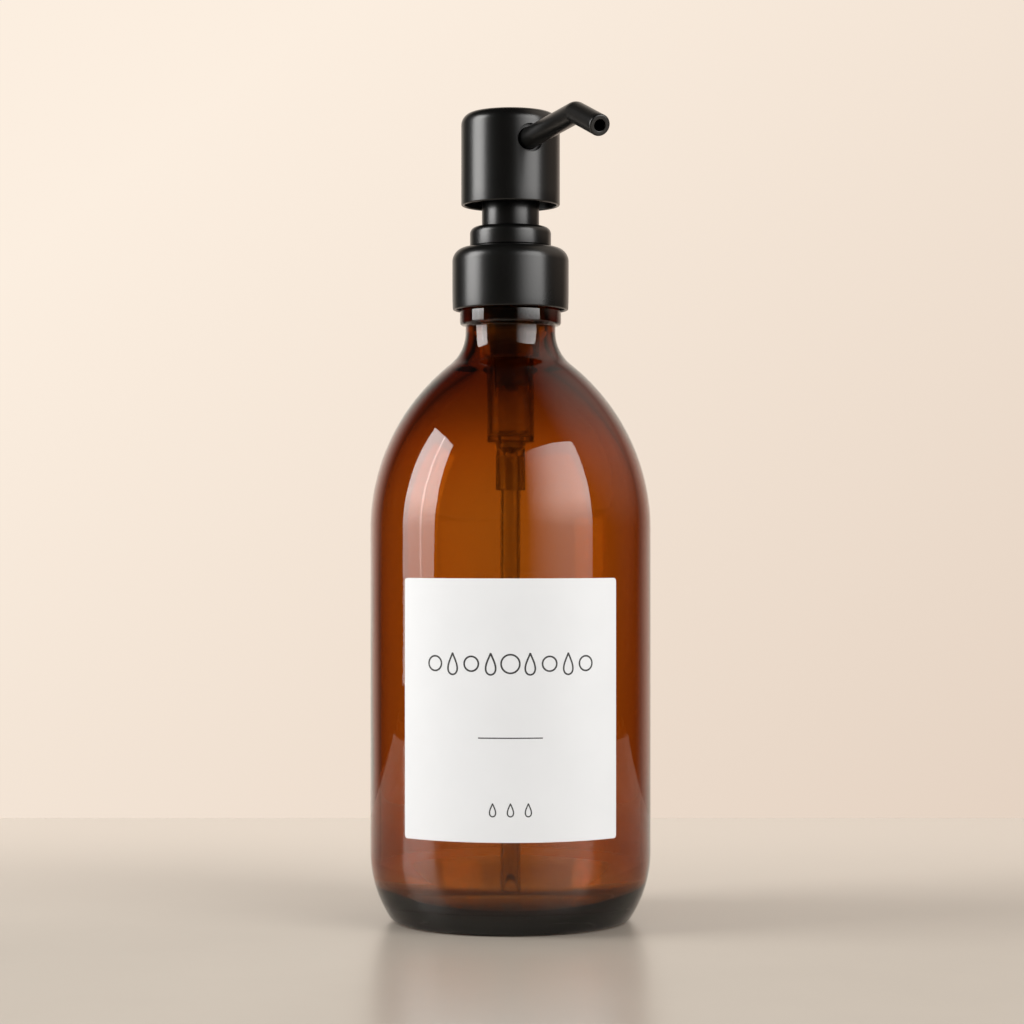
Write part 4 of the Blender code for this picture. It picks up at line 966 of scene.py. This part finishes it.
# ---------------------------------------------------------------- head and spout
HOLE_START, HOLE_END = 9 * MM, 20 * MM           # the cutter's ends along the spout
CORE_PLATE, CORE_FILLET = 2.8 * MM, 0.5 * MM
SKIRT_WALL, SKIRT_RISE = 1.0 * MM, 12.8 * MM
HUB_BORE, HUB_RADIUS = 4.1 * MM, 5.1 * MM
BOSS_RADIUS, BOSS_INSET, SPOUT_SOCKET = 3.95 * MM, 0.05 * MM, 3.05 * MM
RIB_COUNT, RIB_HALF = 3, 0.6 * MM
RIB_FOOT, RIB_OVERLAP = 1.5 * MM, 1.4 * MM
RISER_RADIUS, RISER_START, RISER_GROOVE = 1.38 * MM, 1.0 * MM, 0.5 * MM
SPOUT_EDGE, SPOUT_THROAT = 0.5 * MM, 0.25 * MM


def along_spout(distance, z=None):
    """A point over the spout's centre line, at a distance from the pump's axis."""
    height = SPOUT_AXIS + distance * math.tan(SPOUT_RISE) if z is None else z
    return Vector((distance * math.sin(SPOUT_TURN), -distance * math.cos(SPOUT_TURN), height))


def head():
    """Metal cup of the head, with a round hole for the spout."""
    corner_r, corner_z = HEAD_RADIUS - HEAD_FILLET, HEAD_TOP - HEAD_FILLET
    lip = HEAD_WALL / 2
    outline = (
        [(0, HEAD_TOP), (corner_r / 2, HEAD_TOP)]
        + arc(corner_r, corner_z, HEAD_FILLET, 90, 0, 20)
        + [(HEAD_RADIUS, HEAD_FOOT + (corner_z - HEAD_FOOT) * k / 12) for k in range(11, 1, -1)]
        + arc(HEAD_RADIUS - lip, HEAD_FOOT + lip, lip, 0, -180, 12)
        + arc(corner_r, corner_z, HEAD_FILLET - HEAD_WALL, 0, 90, 12)
        + [(0, HEAD_TOP - HEAD_WALL)]
    )
    shell = revolve("head_cup", outline)
    hole = bar("spout_hole", SPOUT_HOLE, along_spout(HOLE_START), along_spout(HOLE_END))
    cut(shell, [hole])
    place(shell, COAT, "head", "head_shell")


def head_core():
    """Plastic insert under the metal cup: hub, ribs, skirt and the spout's boss."""
    outer, high = half_width("head_core"), top("head_core")
    disc, skirt = high - CORE_PLATE, outer - SKIRT_WALL
    ceiling, hub_foot = top("stem") + GAP, foot("head_core")
    skirt_foot = HEAD_FOOT + SKIRT_RISE
    chamfer = HEAD_FILLET - HEAD_WALL
    fine = 0.2 * MM
    outline = softened([
        (0, ceiling), (HUB_BORE, ceiling), (HUB_BORE, hub_foot, fine), (HUB_RADIUS, hub_foot, fine),
        (HUB_RADIUS, disc, CORE_FILLET), (skirt, disc, CORE_FILLET), (skirt, skirt_foot, fine),
        (outer, skirt_foot, fine), (outer, high, chamfer), (0, high),
    ], 8)
    core = revolve("head_insert", outline, SMALL_ROUND)
    boss_end = math.sqrt(outer**2 - BOSS_RADIUS**2) - BOSS_INSET
    added = [bar("boss", BOSS_RADIUS, along_spout(SKIRT_WALL / 2), along_spout(boss_end), 64)]
    for k in range(RIB_COUNT):
        added.append(slab(
            f"rib_{k}", (HUB_RADIUS - CORE_FILLET, -RIB_HALF, skirt_foot + RIB_FOOT),
            (outer - SKIRT_WALL / 2, RIB_HALF, disc + RIB_OVERLAP), SPOUT_TURN + math.radians(90) * k,
        ))
    cut(core, added, "UNION")
    past_wall = along_spout(HEAD_RADIUS + SPOUT_RADIUS)
    cut(core, [
        bar("socket", SPOUT_SOCKET, along_spout(SPOUT_START - GAP), past_wall, 64),
        bar("channel", SPOUT_BORE, along_spout(0), along_spout(SPOUT_START + SPOUT_RADIUS), 32),
        bar("riser", RISER_RADIUS, (0, 0, ceiling - RISER_START), (0, 0, SPOUT_AXIS), 32),
        slab(
            "riser_groove", (-OUTLET_POCKET, -FLUID_BORE / 2, ceiling - RISER_GROOVE),
            (OUTLET_POCKET, FLUID_BORE / 2, ceiling + RISER_GROOVE), SPOUT_TURN,
        ),
    ])
    place(core, BLACK_PLASTIC, "head", "head_core")


def spout_line():
    """Centre line as (distance, height, slope): a rising run, a tight bend and a drooping tip."""
    turn = SPOUT_RISE + SPOUT_DROP
    tangent = SPOUT_BEND_ARC * math.tan(turn / 2)
    corner_z = SPOUT_AXIS + SPOUT_BEND * math.tan(SPOUT_RISE)
    start_d = SPOUT_BEND - tangent * math.cos(SPOUT_RISE)
    start_z = corner_z - tangent * math.sin(SPOUT_RISE)
    centre_d = start_d + SPOUT_BEND_ARC * math.sin(SPOUT_RISE)
    centre_z = start_z - SPOUT_BEND_ARC * math.cos(SPOUT_RISE)
    line = []
    for k in range(12):
        d = SPOUT_START + (start_d - SPOUT_START) * k / 12
        line.append((d, SPOUT_AXIS + d * math.tan(SPOUT_RISE), SPOUT_RISE))
    for k in range(13):
        slope = SPOUT_RISE - turn * k / 12
        line.append((
            centre_d - SPOUT_BEND_ARC * math.sin(slope),
            centre_z + SPOUT_BEND_ARC * math.cos(slope), slope,
        ))
    last_d, last_z, _ = line[-1]
    for k in range(1, 7):
        d = last_d + (SPOUT_REACH - last_d) * k / 6
        line.append((d, last_z - (d - last_d) * math.tan(SPOUT_DROP), -SPOUT_DROP))
    return line


def spout():
    """Bent metal tube with a rounded, open tip."""
    sides = 64
    line = spout_line()

    def ring(step, radius, back=0.0):
        distance, height, slope = line[step]
        centre = along_spout(distance - back * math.cos(slope), height - back * math.sin(slope))
        up = along_spout(-math.sin(slope), math.cos(slope))
        side = Vector((math.cos(SPOUT_TURN), math.sin(SPOUT_TURN), 0))
        angles = [math.tau * k / sides for k in range(sides)]
        return [centre + radius * (math.cos(a) * up + math.sin(a) * side) for a in angles]

    last = len(line) - 1
    rings = [ring(i, SPOUT_RADIUS) for i in range(last)]
    edge, throat = SPOUT_EDGE, SPOUT_THROAT
    for k in range(9):
        a = math.pi / 2 * k / 8
        rings.append(ring(last, SPOUT_RADIUS - edge + edge * math.cos(a), edge * (1 - math.sin(a))))
    for k in range(1, 7):
        a = math.pi / 2 * k / 6
        rings.append(ring(last, SPOUT_BORE + throat * (1 - math.sin(a)), throat * (1 - math.cos(a))))
    rings += [ring(i, SPOUT_BORE) for i in range(last - 1, -1, -1)]
    bm = bmesh.new()
    closed_skin(bm, rings)
    place(finish_mesh("spout_tube", bm), COAT, "head", "spout")


# ---------------------------------------------------------------- staging
def staging():
    """The table under the bottle."""
    bm = bmesh.new()
    bmesh.ops.create_grid(bm, x_segments=1, y_segments=1, size=1)
    for v in bm.verts:
        v.co.x *= TABLE_HALF
        v.co.y = TABLE_EDGE if v.co.y > 0 else TABLE_NEAR
    table = finish_mesh("table", bm)
    table.data.materials.append(table_top())


def area_light(name, azimuth, low, high, distance, width, power, across, upwards):
    """A soft panel that faces the bottle.  azimuth is from -Y towards +X, low and high are heights,
    and across and upwards are ramps of its strength over its width and its height."""
    data = bpy.data.lights.new(name, "AREA")
    data.shape = "RECTANGLE"
    data.size, data.size_y = width, high - low
    data.energy = power * width * (high - low)
    data.color = (1.0, 0.985, 0.965)
    data.use_nodes = True
    tree = data.node_tree
    spot = add(tree, "ShaderNodeNewGeometry").outputs["Parametric"]
    split = add(tree, "ShaderNodeSeparateXYZ", {0: spot})
    strength = add(
        tree, "ShaderNodeMath",
        {0: ramp(tree, split.outputs["X"], across), 1: ramp(tree, split.outputs["Y"], upwards)},
        operation="MULTIPLY",
    )
    tree.links.new(strength.outputs[0], tree.nodes["Emission"].inputs["Strength"])
    light = bpy.data.objects.new(name, data)
    bpy.context.scene.collection.objects.link(light)
    a = math.radians(azimuth)
    light.location = (distance * math.sin(a), -distance * math.cos(a), (low + high) / 2)
    light.rotation_euler = (math.radians(90), 0, a)
    light.visible_camera = False
    return light


def lighting():
    """A window on the left with a bright gap beside it, and a broad soft panel on the right."""
    even = [(0.0, 1.0), (1.0, 1.0)]
    window_rise = [(0.05, 0.4), (0.35, 1.0)]
    area_light(
        "window", azimuth=-80, low=0.02, high=1.0, distance=1.0, width=0.60, power=26,
        across=even, upwards=window_rise,
    )
    area_light(
        "window_gap", azimuth=-77, low=0.02, high=1.0, distance=0.98, width=0.03, power=17,
        across=even, upwards=window_rise,
    )
    area_light(
        "softbox", azimuth=41, low=0.02, high=1.1, distance=1.0, width=1.05, power=20.5,
        across=[(0.0, 0.0), (0.5, 0.75), (0.9, 1.0), (1.0, 1.0)], upwards=[(0.06, 0.28), (0.35, 1.0)],
    )


def facing(tree, way, direction, near, far, dark, bright):
    """Brightness that rises smoothly as a ray comes to point in a direction."""
    along = add(tree, "ShaderNodeVectorMath", {0: way, 1: direction}, operation="DOT_PRODUCT")
    rise = add(
        tree, "ShaderNodeMapRange",
        {
            "Value": along.outputs["Value"], "From Min": near, "From Max": far,
            "To Min": dark, "To Max": bright,
        },
        interpolation_type="SMOOTHSTEP",
    )
    return rise.outputs[0]


def backdrop():
    """Cream studio: the camera, matt surfaces, and reflections with refractions each see their own."""
    world = bpy.data.worlds.new("studio")
    bpy.context.scene.world = world
    world.use_nodes = True
    tree = world.node_tree
    way = add(tree, "ShaderNodeTexCoord").outputs["Generated"]
    shade = add(tree, "ShaderNodeVectorMath", {0: way, 1: (-1.2, 0.0, 1.5)}, operation="DOT_PRODUCT")
    shifted = add(tree, "ShaderNodeMath", {0: shade.outputs["Value"], 1: 0.62}, operation="ADD")
    cream = ramp(tree, shifted.outputs[0], [(0.0, (0.72, 0.58, 0.475)), (1.0, (0.975, 0.86, 0.745))])
    # Reflections and refractions see a lit backdrop behind the bottle, and a pale wall to the right
    # of it, in an otherwise dark studio.
    behind = facing(tree, way, (0.05, 0.999, 0.0), 0.58, 0.95, 0.03, 1.0)
    wall = facing(tree, way, (0.75, 0.25, 0.6), 0.72, 1.0, 0.0, 0.8)
    lit = add(tree, "ShaderNodeMath", {0: behind, 1: wall}, operation="MAXIMUM")
    studio = mixed(tree, 1.0, cream, lit.outputs[0], "MULTIPLY")
    rays = add(tree, "ShaderNodeLightPath")
    matt = mixed(tree, rays.outputs["Is Diffuse Ray"], studio, (0.36, 0.355, 0.35, 1))
    seen = mixed(tree, rays.outputs["Is Camera Ray"], matt, cream)
    back = tree.nodes["Background"]
    tree.links.new(seen, back.inputs["Color"])
    back.inputs["Strength"].default_value = 1.0


LENS, LENS_SHIFT = 92.7, 0.0322
CAMERA_PLACE = (0.0004, -0.716, 0.1017)


def camera():
    """Level camera that looks along +Y."""
    data = bpy.data.cameras.new("camera")
    data.sensor_width = 36
    data.lens = LENS
    data.shift_y = LENS_SHIFT
    obj = bpy.data.objects.new("camera", data)
    bpy.context.scene.collection.objects.link(obj)
    obj.location = CAMERA_PLACE
    obj.rotation_euler = (math.radians(90), 0, 0)
    bpy.context.scene.camera = obj


bottle()
label()
label_print()
closure()
covers()
housing()
guide_bush()
gasket()
dip_tube()
ball_cage()
valve_ball("inlet_ball_glass", "inlet_valve", "inlet_ball")
valve_ball("outlet_ball_glass", "outlet_valve", "outlet_ball")
spring()
plunger()
stem()
head()
head_core()
spout()
staging()
lighting()
backdrop()
camera()

scene = bpy.context.scene
scene.view_settings.view_transform = "Standard"
